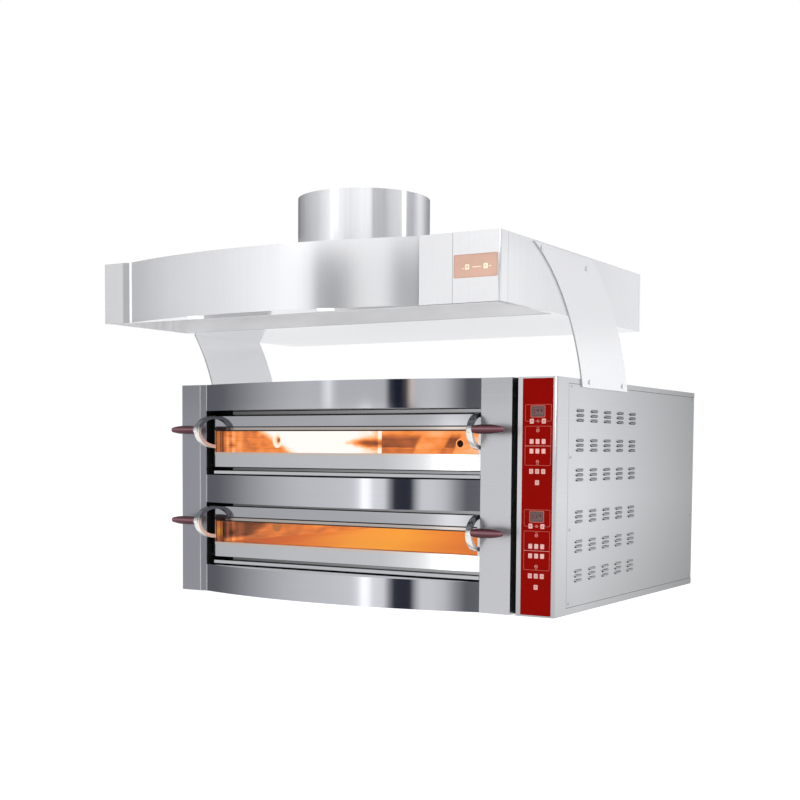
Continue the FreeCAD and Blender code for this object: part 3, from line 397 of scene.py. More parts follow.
# colours of the painted chamber glow, from dim red to near white
GLOW_RAMP = [(0.0, (0.06, 0.018, 0.007)), (0.2, (0.27, 0.075, 0.026)), (0.4, (0.58, 0.156, 0.042)),
        (0.5, (0.84, 0.24, 0.045)), (0.62, (0.93, 0.37, 0.125)), (0.76, (1.0, 0.62, 0.38)),
        (0.9, (1.0, 0.88, 0.76)), (1.0, (1.0, 0.97, 0.94))]


def glow(n, bsdf, glow_level, rough):
    """Painted glow: the surface gives off the ramp colour as emission, standing in for the chamber's light,
    and reflects little.
    """
    color = n.ramp(glow_level, GLOW_RAMP)
    n.link(n.mix(1.0, color, grey(0.12), "MULTIPLY"), bsdf.inputs["Base Color"])
    n.link(rough, bsdf.inputs["Roughness"])
    bsdf.inputs["Specular IOR Level"].default_value = 0.0
    n.link(color, bsdf.inputs["Emission Color"])
    bsdf.inputs["Emission Strength"].default_value = 1.0


def streaks(n, scale):
    """Thin level streaks on the sheet."""
    return n.noise(n.stretched(scale), 1.0, 3.0, 0.6)


def clouds(n, scale, seed):
    """Broad uneven patches, centred on 0."""
    place = n.stretched(scale)
    shifted = n.add("ShaderNodeVectorMath", operation="ADD")
    shifted.inputs[1].default_value = (seed, seed * 0.7, seed * 0.3)
    n.link(place, shifted.inputs[0])
    return n.math("SUBTRACT", n.noise(shifted.outputs[0], 1.0, 3.0, 0.65), 0.5)


def door_side_light_bands(n, y, rise):
    """Painted light: upright bright and dark bands near the front of the left wall, where rails and folds
    catch the glow, and one dark spot of painted shade.
    """
    bands = n.ramp(fade(n, y, -0.62, -0.40), [(at, grey(v)) for at, v in (
        (0.0, 0.30), (0.10, 0.95), (0.16, 0.45), (0.24, 0.20), (0.31, 1.0), (0.40, 0.55), (0.46, 1.25),
        (0.56, 0.70), (0.66, 1.00), (0.80, 0.60), (1.0, 0.70))])
    spot = n.math("MULTIPLY", bell(n, y, -0.525, 0.018), bell(n, rise, -0.020, 0.010))
    return n.math("MULTIPLY_ADD", spot, -0.9, n.math("SUBTRACT", bands, 0.70))


def lamp_lit(name):
    """Upper chamber, all painted light: a painted pool of the lamp's light brightens a slanting patch of the
    left wall, painted bands lie across the back wall.
    """
    material, n, bsdf = new_material(name)
    x, y, z = axes(n)
    rise = n.math("SUBTRACT", z, DECKS["upper"] + 0.100)
    fine = streaks(n, (4.0, 4.0, 260.0))
    # left wall: painted light, with the lamp's painted pool and a wedge of painted shade
    lean = n.math("MULTIPLY_ADD", rise, 2.4, y)
    lamp_pool = n.math("MULTIPLY", fade(n, lean, -0.30, -0.18), fade(n, y, 0.62, 0.22))
    shade_wedge = n.math("MULTIPLY", fade(n, y, 0.10, 0.36), bell(n, rise, -0.006, 0.018))
    side = n.math("MULTIPLY_ADD", fine, 0.34, 0.31)
    side = n.math("MULTIPLY_ADD", clouds(n, (9, 9, 16), 3.0), 0.55, side)
    side = n.math("MULTIPLY_ADD", door_side_light_bands(n, y, rise), 0.32, side)
    side = n.math("ADD", side, n.math("MULTIPLY", lamp_pool, 0.72))
    side = n.math("MULTIPLY_ADD", shade_wedge, -0.62, side)
    side = n.math("MULTIPLY_ADD", fade(n, y, CHAMBER_BACK - 0.022, CHAMBER_BACK - 0.012), 0.25, side)
    # back wall: painted light from two ramps across it, one for its upper and one for its lower half
    slant = n.math("MULTIPLY_ADD", rise, -0.6, x)
    across = fade(n, slant, -0.62, 0.62)

    def spread(stops):
        return n.ramp(across, [((at + 0.62) / 1.24, grey(v)) for at, v in stops])

    lower = spread([(-0.60, 0.22), (-0.435, 0.25), (-0.415, 0.60), (-0.33, 0.56), (-0.285, 0.52),
                    (-0.272, 0.22), (-0.235, 0.24), (-0.222, 0.62), (-0.12, 0.70), (0.10, 0.52),
                    (0.60, 0.40)])
    upper = spread([(-0.60, 0.60), (-0.43, 0.58), (-0.37, 0.66), (-0.25, 0.62), (-0.12, 0.55), (0.60, 0.45)])
    back = n.mix(fade(n, rise, 0.012, 0.036), lower, upper)
    foot = n.math("MULTIPLY", n.math("LESS_THAN", rise, -0.024), n.math("MULTIPLY_ADD", fine, 0.35, 0.28))
    back = n.math("MAXIMUM", n.math("MULTIPLY_ADD", fine, 0.10, n.math("SUBTRACT", back, 0.05)), foot)
    back = n.math("MULTIPLY_ADD", clouds(n, (11, 11, 22), 8.0), 0.40, n.math("SUBTRACT", back, 0.03))
    left = n.math("LESS_THAN", x, CHAMBER_L + 0.01)
    glow(n, bsdf, n.mix(left, back, side), n.math("MULTIPLY_ADD", fine, 0.2, 0.3))
    return material


def lower_chamber_glow(name):
    """Lower chamber, all painted light: a painted glow as if lit only by the hot stones, with painted shade
    leaving it brown high up at the front left.
    """
    material, n, bsdf = new_material(name)
    x, y, z = axes(n)
    rise = n.math("SUBTRACT", z, DECKS["lower"] + 0.100)
    fine = streaks(n, (4.0, 4.0, 200.0))
    lean = n.math("MULTIPLY_ADD", rise, -2.2, y)
    # painted shade high up towards the front of the chamber
    dark = n.math("MULTIPLY", fade(n, lean, -0.30, -0.36), fade(n, rise, -0.042, -0.032))
    glow_level = n.math("MULTIPLY_ADD", fine, 0.22, 0.31)
    glow_level = n.math("MULTIPLY_ADD", clouds(n, (8, 8, 20), 5.0), 0.35, glow_level)
    glow_level = n.math("MULTIPLY_ADD", door_side_light_bands(n, y, rise), 0.30, glow_level)
    glow_level = n.math("MULTIPLY_ADD", dark, -0.30, glow_level)
    glow_level = n.math("MULTIPLY_ADD", fade(n, y, -0.10, 0.20), 0.06, glow_level)
    glow(n, bsdf, glow_level, n.math("MULTIPLY_ADD", fine, 0.2, 0.3))
    return material


def stone(name, strength):
    """Refractory slabs with a painted amber glow, given as emission; deeper red towards the front left and
    the far right.
    """
    material, n, bsdf = new_material(name)
    x, y, _ = axes(n)
    grit = n.noise(n.stretched((1, 1, 1)), 160.0, 4.0)
    cloud = n.noise(n.stretched((3.0, 1.0, 1.0)), 2.0, 3.0)
    across = fade(n, n.math("MULTIPLY_ADD", y, 0.53, x), -0.90, 0.90)
    color = n.ramp(n.math("MULTIPLY_ADD", n.math("SUBTRACT", cloud, 0.5), 0.10, across),
                   [((at + 0.90) / 1.80, c) for at, c in (
                       (-0.85, (0.50, 0.10, 0.028)), (-0.66, (0.66, 0.145, 0.034)),
                       (-0.52, (0.80, 0.235, 0.042)), (-0.40, (0.90, 0.33, 0.048)),
                       (-0.20, (0.93, 0.36, 0.045)), (-0.06, (0.86, 0.28, 0.040)),
                       (0.10, (0.74, 0.19, 0.036)), (0.85, (0.66, 0.15, 0.034)))])
    color = n.mix(0.22, color, n.ramp(grit, [(0.3, grey(0.7)), (0.7, grey(1.0))]), "MULTIPLY")
    n.link(n.mix(1.0, color, grey(0.12), "MULTIPLY"), bsdf.inputs["Base Color"])
    bsdf.inputs["Roughness"].default_value = 0.8
    bsdf.inputs["Specular IOR Level"].default_value = 0.0
    # painted glow: the stone colour is given off as emission
    n.link(color, bsdf.inputs["Emission Color"])
    bsdf.inputs["Emission Strength"].default_value = strength
    bump(n, bsdf, grit, 0.5, 0.0008)
    return material


def bow_steel(name):
    """Polished cast bows with a painted reflection: dark above their middle for the dark room, bright below
    it for the white floor.
    """
    material, n, bsdf = new_material(name)
    z = axes(n)[2]
    deck = n.math("MODULO", n.math("SUBTRACT", z, DOOR_Z), DECK_PITCH)
    wear = n.noise(n.stretched((30, 30, 30)), 1.0, 3.0)
    # painted reflection: dark colour above the bow's middle, bright below it
    upper = fade(n, deck, BOW_DZ + 0.002, BOW_DZ + 0.020)
    bright = n.ramp(wear, [(0.3, (0.80, 0.79, 0.77)), (0.7, (0.88, 0.87, 0.85))])
    n.link(n.mix(upper, bright, (0.20, 0.205, 0.225)), bsdf.inputs["Base Color"])
    n.link(n.math("MULTIPLY_ADD", upper, 0.4, 0.5), bsdf.inputs["Metallic"])
    n.link(n.math("MULTIPLY_ADD", wear, 0.10, 0.12), bsdf.inputs["Roughness"])
    return material


def grip_plastic(name):
    """Turned maroon grips: a painted highlight along the middle and painted shade towards the rims."""
    material, n, bsdf = new_material(name)
    deck = n.math("MODULO", n.math("SUBTRACT", axes(n)[2], GRIP_LOW), DECK_PITCH)
    grain = n.noise(n.stretched((1, 1, 1)), 900.0, 2.0)
    across = n.math("MULTIPLY_ADD", grain, 0.04, n.math("MULTIPLY", deck, 1.0 / (2 * GRIP_R)))
    # painted highlight a little above the grip's axis, painted shade towards both rims
    color = n.ramp(across, [(0.0, GRIP_RIM_SHADE), (0.20, (0.045, 0.008, 0.014)), (0.42, (0.105, 0.028, 0.040)),
                            (0.58, (0.24, 0.125, 0.145)), (0.68, (0.15, 0.055, 0.070)),
                            (0.82, (0.055, 0.010, 0.018)), (1.0, GRIP_RIM_SHADE)])
    n.link(color, bsdf.inputs["Base Color"])
    n.link(n.math("MULTIPLY_ADD", grain, 0.05, 0.22), bsdf.inputs["Roughness"])
    bsdf.inputs["Specular IOR Level"].default_value = 0.28
    bump(n, bsdf, grain, 0.3, 0.00004)
    return material


def lamp_glow(name):
    """Lamp lenses in the left walls: a dull middle in a bright surround, all dim in the lower chamber."""
    material, n, bsdf = new_material(name)
    _, y, z = axes(n)
    rise = n.math("SUBTRACT", n.math("MODULO", n.math("SUBTRACT", z, LAMP_LOW.z), DECK_PITCH), LAMP_R)
    off = n.math("SUBTRACT", y, LAMP_LOW.y + LAMP_R)
    squared = n.math("ADD", n.math("MULTIPLY", rise, rise), n.math("MULTIPLY", off, off))
    reach = n.math("MULTIPLY", n.math("SQRT", squared), 1.0 / LAMP_R)
    ribs = n.noise(n.stretched((1, 1, 1)), 90.0, 2.0)
    lens = n.ramp(n.math("MULTIPLY_ADD", n.math("SUBTRACT", ribs, 0.5), 0.12, reach),
                  [(0.0, (0.34, 0.11, 0.045)), (0.24, (0.40, 0.14, 0.05)), (0.42, (0.92, 0.52, 0.26)),
                   (0.62, (1.0, 0.84, 0.66)), (1.0, (1.0, 0.93, 0.84))])
    color = n.mix(n.math("GREATER_THAN", z, DECKS["upper"]), (0.44, 0.15, 0.045), lens)
    n.link(n.mix(1.0, color, grey(0.12), "MULTIPLY"), bsdf.inputs["Base Color"])
    n.link(color, bsdf.inputs["Emission Color"])
    bsdf.inputs["Emission Strength"].default_value = 1.0
    bsdf.inputs["Roughness"].default_value = 0.3
    bsdf.inputs["Specular IOR Level"].default_value = 0.0
    return material


def blade_sheet(name, tint, rough):
    """Carrying blades of the hood: satin sheet; faces that do not face sideways are a matte dark grey."""
    material, n, bsdf = new_material(name)
    fine = n.noise(n.stretched(ALONG_Y), 1.0, 4.0, 0.6)
    color = n.ramp(fine, [(0.25, tuple(c * 0.985 for c in tint)), (0.75, tint)])
    split = n.add("ShaderNodeSeparateXYZ")
    n.link(n.add("ShaderNodeTexCoord").outputs["Normal"], split.inputs[0])
    # darker, matte, non-metallic colour on the faces that do not face sideways
    face = fade(n, n.math("ABSOLUTE", split.outputs[0]), 0.55, 0.95)
    n.link(n.mix(face, (0.36, 0.36, 0.375), color), bsdf.inputs["Base Color"])
    n.link(n.math("MULTIPLY_ADD", face, rough - 0.5, 0.5), bsdf.inputs["Roughness"])
    n.link(n.math("MULTIPLY", face, 0.66), bsdf.inputs["Metallic"])
    return material


def outlet_steel(name):
    """Steam pipes: galvanised outside the casing; at the chamber end they are painted dark brown and
    non-metallic, as the shade inside the tube.
    """
    material, n, bsdf = new_material(name)
    y = axes(n)[1]
    fleck = n.noise(n.stretched((60, 60, 60)), 1.0, 3.0)
    zinc = n.ramp(fleck, [(0.3, grey(0.44)), (0.7, (0.56, 0.57, 0.59))])
    # painted shade inside the tube, at its chamber end
    tube_shade = fade(n, y, CHAMBER_BACK + 0.06, CHAMBER_BACK + 0.03)
    n.link(n.mix(tube_shade, zinc, (0.055, 0.02, 0.010)), bsdf.inputs["Base Color"])
    n.link(n.math("MULTIPLY_ADD", fleck, 0.2, 0.35), bsdf.inputs["Roughness"])
    n.link(n.math("SUBTRACT", 1.0, tube_shade), bsdf.inputs["Metallic"])
    return material


def hood_sheet(name, tint, rough):
    """Fine satin sheet of the hood; painted shade darkens its front flats and the folded left corner."""
    material, n, bsdf = new_material(name)
    bsdf.inputs["Metallic"].default_value = 0.66
    fine = n.noise(n.stretched((110.0, 110.0, 2.0)), 1.0, 4.0, 0.6)
    cloud = n.noise(n.stretched((1, 1, 1)), 2.3, 3.0, 0.55)
    color = n.ramp(fine, [(0.25, tuple(c * 0.96 for c in tint)), (0.75, tint)])
    color = n.mix(1.0, color, n.ramp(cloud, [(0.3, grey(0.96)), (0.7, grey(1.0))]), "MULTIPLY")
    x, y, _ = axes(n)
    corner = HOOD_CORNER
    # painted shade on the front: the left flat, the folded corner most, and the right flat
    across = n.ramp(fade(n, x, -0.76, 0.76), [((at + 0.76) / 1.52, grey(v)) for at, v in (
        (-0.76, 0.84), (corner - 0.024, 0.84), (corner - 0.023, 0.60), (corner - 0.001, 0.60), (corner, 1.0),
        (0.47, 1.0), (0.49, 0.885))])
    front = n.math("LESS_THAN", y, HOOD_FRONT + 0.010)
    n.link(n.mix(front, color, n.mix(1.0, color, across, "MULTIPLY")), bsdf.inputs["Base Color"])
    n.link(n.math("MULTIPLY_ADD", cloud, rough * 0.5, rough * 0.7), bsdf.inputs["Roughness"])
    bump(n, bsdf, fine, 0.25, 0.00001)
    return material


def column_sheet(name, tint, rough):
    """Brushed front columns with painted shade: darker on the left one and towards their tops."""
    return steel(name, tint, rough, HORIZONTAL,
                 painted_shades=[(0, -0.64, 0.45, (0.575, 0.57, 0.61)), (2, 0.72, 0.56, grey(0.84))])


def lining(name):
    """Black recess lining, painted shade of the recesses: near black at its ends, lighter grey along its
    middle.
    """
    material, n, bsdf = new_material(name)
    x = axes(n)[0]
    grain = n.noise(n.stretched((1, 1, 1)), 60.0, 3.0)
    off = n.math("ABSOLUTE", n.math("SUBTRACT", x, BAY_X))
    # painted shade: near black towards the ends of the bay, lighter grey along its middle
    lining_shade = n.mix(fade(n, off, BAY_R - BAY_X - 0.075, BAY_R - BAY_X - 0.085), grey(0.006), grey(0.16))
    n.link(n.mix(0.4, lining_shade, n.ramp(grain, [(0.3, grey(0.7)), (0.7, grey(1.0))]), "MULTIPLY"),
           bsdf.inputs["Base Color"])
    n.link(n.math("MULTIPLY_ADD", grain, 0.1, 0.6), bsdf.inputs["Roughness"])
    bsdf.inputs["Specular IOR Level"].default_value = 0.12
    return material


def lit(name, tint, strength, rough=0.35):
    """Small lit lens: an even glow with a faint grain."""
    material, n, bsdf = new_material(name)
    grain = n.noise(n.stretched((1, 1, 1)), 400.0, 2.0)
    color = n.ramp(grain, [(0.3, tuple(c * 0.92 for c in tint)), (0.7, tint)])
    n.link(color, bsdf.inputs["Base Color"])
    n.link(color, bsdf.inputs["Emission Color"])
    bsdf.inputs["Emission Strength"].default_value = strength
    n.link(n.math("MULTIPLY_ADD", grain, 0.1, rough), bsdf.inputs["Roughness"])
    return material


# Places that materials and pieces share, from the CAD frame (metres).
BAY_L, BAY_R = (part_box("front_panel_middle")[end].x for end in (0, 1))
BAY_X = (BAY_L + BAY_R) / 2
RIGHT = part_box("back_panel")[1].x + 0.0015
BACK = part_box("back_panel")[1].y
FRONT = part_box("right_front_column")[0].y
DECKS = {deck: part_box(deck + "_door_frame")[0].z for deck in ("lower", "upper")}
DOOR_Z, DECK_PITCH = DECKS["lower"], DECKS["upper"] - DECKS["lower"]
DOOR_CROWN = 0.0680             # metres of crown per square metre of half width
LIP_GLOW_REFLECTION, RAIL_SHADE = (1.1, 0.97, 0.85), (0.75, 0.755, 0.775)   # tints for the painted glow reflection on the window lips and the painted shade on the top rail
HOOD_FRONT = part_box("hood_control_panel")[0].y
HOOD_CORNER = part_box("hood_front_panel")[0].x
CHAMBER_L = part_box("upper_chamber_liner")[0].x + 0.0015
CHAMBER_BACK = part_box("upper_chamber_liner")[1].y
WINDOW_LOW, WINDOW_TOP = 0.053, 0.133   # above the door's lower edge
STEAM_DZ, BOW_DZ = 0.093, 0.127  # steam hole and handle bow above the door's lower edge
SILL_BACK = FRONT + 0.050       # bars behind this line are the duller ones, in painted shade
HORIZONTAL = (3.0, 3.0, 900.0)
ALONG_Y = (900.0, 6.0, 500.0)
GRIP_RIM_SHADE = (0.020, 0.004, 0.006)
GRIP_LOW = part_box("lower_handle_grips")[0].z
GRIP_R = (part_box("lower_handle_grips")[1].z - GRIP_LOW) / 2
LAMP_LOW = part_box("chamber_lamps")[0]
LAMP_R = (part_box("chamber_lamps")[1].y - LAMP_LOW.y) / 2

MATERIALS = {
    # painted shade: darker towards the left (low x) end of the casing
    "brushed_casing": steel("brushed_casing", (0.80, 0.80, 0.82), 0.30, HORIZONTAL,
                            painted_shades=[(0, -0.64, 0.45, (0.56, 0.56, 0.59))]),
    "bright_front": steel("bright_front", (0.635, 0.64, 0.675), 0.05, (3.0, 3.0, 300.0), contrast=0.02,
                          depth=0.000008),
    # painted shade: the side walls darken towards the back and towards the bottom
    "side_casing": steel("side_casing", (0.735, 0.74, 0.75), 0.34, ALONG_Y,
                         painted_shades=[(1, 0.70, -0.45, grey(0.47)), (2, -0.05, 0.36, grey(0.72))]),
    "galvanised": steel("galvanised", (0.52, 0.54, 0.56), 0.45, (40, 40, 40), contrast=0.15),
    "black_lining": lining("black_lining"),
    "red_overlay": moulded("red_overlay", (0.235, 0.0016, 0.0004), 0.42, spots=0.05, gloss=0.03),
    "display_window": moulded("display_window", (0.10, 0.060, 0.060), 0.25, gloss=0.4),
    "key_white": moulded("key_white", (0.68, 0.40, 0.365), 0.45, gloss=0.3),
    "chamber_steel": lamp_lit("chamber_steel"),
    "refractory": stone("refractory", 1.0),
    "element_metal": moulded("element_metal", (0.20, 0.09, 0.04), 0.5),
    "lamp_glass": lamp_glow("lamp_glass"),
    "mineral_wool": moulded("mineral_wool", (0.62, 0.57, 0.42), 0.95, grain=250.0, depth=0.004),
    "door_glass": glazing("door_glass", (0.85, 0.80, 0.75)),
    "polished_steel": steel("polished_steel", (0.74, 0.73, 0.72), 0.10, (60, 60, 60), contrast=0.03),
    "maroon_grip": grip_plastic("maroon_grip"),
    "black_plastic": moulded("black_plastic", (0.02, 0.02, 0.022), 0.5),
    "circuit_board": moulded("circuit_board", (0.03, 0.14, 0.06), 0.5),
    "zinc_screw": steel("zinc_screw", (0.58, 0.58, 0.60), 0.25, (200, 200, 200)),
    "hood_satin": hood_sheet("hood_satin", (0.89, 0.89, 0.905), 0.10),
    "filter_steel": steel("filter_steel", (0.86, 0.86, 0.88), 0.22, (300, 20, 20), metallic=0.5),
    "spot_lens": lit("spot_lens", (1.0, 1.0, 0.98), 1.2),
    "motor_paint": moulded("motor_paint", (0.12, 0.13, 0.14), 0.45),
}
DOOR_SHEET = door_steel("door_sheet", (0.66, 0.665, 0.68), 0.075)
SILL_SHEET = sill_steel("sill_sheet", (0.62, 0.625, 0.64), 0.09)
COLLAR_SHEET = steel("collar_sheet", (0.90, 0.90, 0.92), 0.07, (90.0, 90.0, 2.0), metallic=0.62,
                     contrast=0.05, depth=0.00001)
PRINT_PINK = moulded("print_pink", (0.72, 0.30, 0.26), 0.5, gloss=0.2)
PRINT_RED = moulded("print_red", (0.45, 0.10, 0.08), 0.5, gloss=0.2)
SALMON_RIM = moulded("salmon_rim", (0.54, 0.34, 0.27), 0.5, gloss=0.12)
SALMON = moulded("salmon_label", (0.60, 0.385, 0.305), 0.5, gloss=0.12)
DIGIT = lit("display_digit", (0.26, 0.10, 0.09), 0.15)
COLUMN_SHEET = column_sheet("column_sheet", (0.66, 0.66, 0.68), 0.30)
LOWER_GLOW_SHEET = lower_chamber_glow("lower_chamber_painted_glow")
# near-black strips painted as the shade along the top of each window and its fold line
SHADE_STRIP = moulded("window_shade_strip", (0.03, 0.026, 0.024), 0.6, gloss=0.2)
BOW_STEEL = bow_steel("bow_steel")
# painted highlight: the steam-hole rims glow orange
RIM = lit("steam_rim_glint", (0.95, 0.42, 0.16), 0.75)
CREAM = moulded("key_cream", (0.98, 0.83, 0.66), 0.4, gloss=0.2)
# painted shade: the louvre lips darken towards the back and towards the upper rows
LIP_STEEL = steel("louvre_steel", (0.66, 0.665, 0.68), 0.40, ALONG_Y,
                  painted_shades=[(1, 0.70, -0.45, grey(0.60)), (2, 0.68, 0.10, grey(0.68))])
# spill: painted light from the hood lamps, given as emission
PLENUM_SHEET = steel("plenum_sheet", (0.86, 0.86, 0.88), 0.2, (1.5, 28.0, 4.0), metallic=0.4,
                     contrast=0.22, spill=0.10)
# the rolled edges and folds are real; their plain light grey colour is a painted highlight along them
FOLD_EDGE = moulded("fold_edge", (0.50, 0.50, 0.53), 0.35, gloss=0.5)
HOOD_EDGE = moulded("hood_edge", (0.90, 0.90, 0.91), 0.35, gloss=0.5)
BLADE_SHEET = blade_sheet("blade_sheet", (0.89, 0.89, 0.905), 0.12)
LOOK = {                        # CAD nodes that differ from their slot's own material
    "left_front_column": COLUMN_SHEET, "right_front_column": COLUMN_SHEET,
    "upper_door_frame": DOOR_SHEET, "lower_door_frame": DOOR_SHEET, "door_sills": SILL_SHEET,
    "upper_handle_bows": BOW_STEEL, "lower_handle_bows": BOW_STEEL, "flue_collar": COLLAR_SHEET,
    "lower_chamber_liner": LOWER_GLOW_SHEET, "steam_outlets": outlet_steel("outlet_steel"),
    "hood_blades": BLADE_SHEET, "hood_plenum": PLENUM_SHEET, "key_hood_light": CREAM, "key_hood_fan": CREAM,
}
BEVELLED = {                    # CAD nodes whose sharp edges are softened, and by how much
    "left_front_column": 0.0007, "right_front_column": 0.0007, "control_column": 0.0007,
    "upper_door_frame": 0.0010, "lower_door_frame": 0.0010, "door_sills": 0.0012,
    "upper_handle_bows": 0.0040, "lower_handle_bows": 0.0040, "hood_control_panel": 0.0007,
    "hood_blades": 0.0012, "baking_stones": 0.0025, "case_screws": 0.0006, "cable_gland": 0.0008,
    "cooling_fan_frame": 0.0010,
}


def dress_cad():
    """Materials on every CAD node, and softened edges on the pressed and folded ones."""
    for name, obj in NODES.items():
        obj.data.materials.clear()
        obj.data.materials.append(LOOK.get(name, MATERIALS[SLOT_OF[name]]))
    keys = {name: 0.0006 for name in NODES if name.startswith("key_")}
    for name, width in {**BEVELLED, **keys}.items():
        weld = NODES[name].modifiers.new("weld", "WELD")
        weld.merge_threshold = 0.00001
        edge = NODES[name].modifiers.new("soft_edge", "BEVEL")
        edge.width, edge.segments, edge.limit_method = width, 2, "ANGLE"
        edge.angle_limit = math.radians(40.0)
        edge.harden_normals = True


# ------------------------------------------------------------------ piece helpers
def add_piece(name, mesh, material, body="cabinet"):
    mesh.materials.clear()
    mesh.materials.append(material)
    piece = bpy.data.objects.new(name, mesh)
    SCENE.collection.objects.link(piece)
    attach(piece, body)
    return piece


def curve_mesh(name, loops, extrude=0.0, bevel=0.0, flat=True, cyclic=True):
    """Mesh from poly curves: filled flat shapes (nested loops are holes), or round wires."""
    curve = bpy.data.curves.new(name, "CURVE")
    curve.dimensions = "2D" if flat else "3D"
    if flat:
        curve.fill_mode = "BOTH"
    else:
        curve.use_fill_caps = True
    curve.extrude, curve.bevel_depth, curve.bevel_resolution = extrude, bevel, 3
    for points in loops:
        spline = curve.splines.new("POLY")
        spline.points.add(len(points) - 1)
        for point, place in zip(spline.points, points):
            point.co = (*place, *([0.0] * (3 - len(place))), 1.0)
        spline.use_cyclic_u = cyclic
    holder = bpy.data.objects.new(name, curve)
    mesh = bpy.data.meshes.new_from_object(holder)
    mesh.name = name
    bpy.data.objects.remove(holder)
    return mesh


# A flat shape drawn in x and z, turned to face the front or the back.
FACING = {
    "front": Matrix.Rotation(math.pi / 2, 4, "X"),
    "back": Matrix.Rotation(math.pi, 4, "Z") @ Matrix.Rotation(math.pi / 2, 4, "X"),
}


def plate(name, loops, face, thickness, material, body="cabinet", bevel=0.0, facing="front"):
    """Thin plate standing on the plane y = face, drawn as (x, z) loops."""
    if facing == "back":
        loops = [[(-x, z) for x, z in loop] for loop in loops]
    mesh = curve_mesh(name, loops, extrude=thickness / 2 - bevel, bevel=bevel)
    mesh.transform(FACING[facing])
    out = -1 if facing == "front" else 1
    mesh.transform(Matrix.Translation((0, face + out * thickness / 2, 0)))
    return add_piece(name, mesh, material, body)


def wires(name, paths, radius, material, body="cabinet", cyclic=True):
    mesh = curve_mesh(name, paths, bevel=radius, flat=False, cyclic=cyclic)
    return add_piece(name, mesh, material, body)


def circle(cx, cz, r, steps=24):
    return [(cx + r * math.cos(2 * math.pi * k / steps), cz + r * math.sin(2 * math.pi * k / steps))
            for k in range(steps)]


def rounded(cx, cz, w, h, r, steps=4):
    """Rounded rectangle about cx, cz."""
    points = []
    for k, (sx, sz) in enumerate(((1, 1), (-1, 1), (-1, -1), (1, -1))):
        for step in range(steps + 1):
            a = math.pi / 2 * (k + step / steps)
            points.append((cx + sx * (w / 2 - r) + r * math.cos(a), cz + sz * (h / 2 - r) + r * math.sin(a)))
    return points


def bar(x0, z0, x1, z1, width):
    """Straight stroke from one point to another."""
    dx, dz = x1 - x0, z1 - z0
    length = math.hypot(dx, dz)
    nx, nz = -dz / length * width / 2, dx / length * width / 2
    return [(x0 + nx, z0 + nz), (x0 - nx, z0 - nz), (x1 - nx, z1 - nz), (x1 + nx, z1 + nz)]


# ------------------------------------------------------------------ control column
OVERLAY_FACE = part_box("control_overlay")[0].y
KEY_X = sum(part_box("key_upper_timer")[end].x for end in (0, 1)) / 2
KEY_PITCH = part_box("key_upper_program")[0].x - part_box("key_upper_timer")[0].x
PRINT_T, LINE = 0.00025, 0.0013
LENS_W, LENS_H = 0.0125, 0.0145


def arrow(cx, cz, size, up):
    s = 1 if up else -1
    return [(cx - size, cz - s * size * 0.7), (cx + size, cz - s * size * 0.7), (cx, cz + s * size * 0.9)]


FIELD_X, FIELD_W, FIELD_R = KEY_X + 0.001, 0.089, 0.003
FIELDS = ((0.1835, 0.053), (0.0815, 0.123))     # centre above the door's lower edge, and height
LENS_ROWS, DIVIDER_DZ = (0.095, 0.065), 0.081


def overlay_print(deck, z0):
    """Outlined fields, small pictograms and level lenses printed on the red foil."""
    lines = [rounded(FIELD_X, z0 + dz, FIELD_W - 2 * inset, height - 2 * inset, FIELD_R - turn)
             for dz, height in FIELDS for inset, turn in ((0.0, 0.0), (LINE, 0.001))]
    plate(deck + "_print_fields", lines, OVERLAY_FACE, PRINT_T, PRINT_RED)
    level = z0 + DIVIDER_DZ
    marks = [bar(FIELD_X - FIELD_W / 2, level, FIELD_X + FIELD_W / 2, level, LINE)]
    for dz, up in ((0.129, True), (0.032, False)):
        marks += [circle(KEY_X, z0 + dz, r) for r in (0.0052, 0.0039)]
        marks.append(bar(KEY_X - 0.0030, z0 + dz, KEY_X + 0.0030, z0 + dz, 0.0012))
        foot = z0 + dz + (0.0085 if up else -0.0085)
        for k in (-1, 0, 1):
            x = KEY_X + k * 0.0035
            marks.append(bar(x, foot - 0.0012, x, foot + 0.0012, 0.0010))
    marks += [circle(KEY_X, z0 + 0.158, r) for r in (0.0040, 0.0027)]
    plate(deck + "_print_marks", marks, OVERLAY_FACE, PRINT_T, PRINT_PINK)
    lenses = [rounded(KEY_X + k * KEY_PITCH, z0 + dz, LENS_W, LENS_H, 0.0015)
              for dz in LENS_ROWS for k in (-1, 0, 1)]
    plate(deck + "_level_lenses", lenses, OVERLAY_FACE, 0.0012, MATERIALS["key_white"],
          bevel=0.0003)


# Segments a to g of a digit, as strokes in a unit cell 1 wide and 2 high.
SEGMENTS = {"a": (0, 2, 1, 2), "b": (1, 2, 1, 1), "c": (1, 1, 1, 0), "d": (0, 0, 1, 0), "e": (0, 1, 0, 0),
            "f": (0, 2, 0, 1), "g": (0, 1, 1, 1)}
DIGITS = {"0": "abcdef", "2": "abged", "3": "abgcd", "5": "afgcd"}
CELL, DIGIT_PITCH, SEGMENT_FILL = 0.0075, 0.0125, 0.84   # the strokes are shortened, so that gaps show


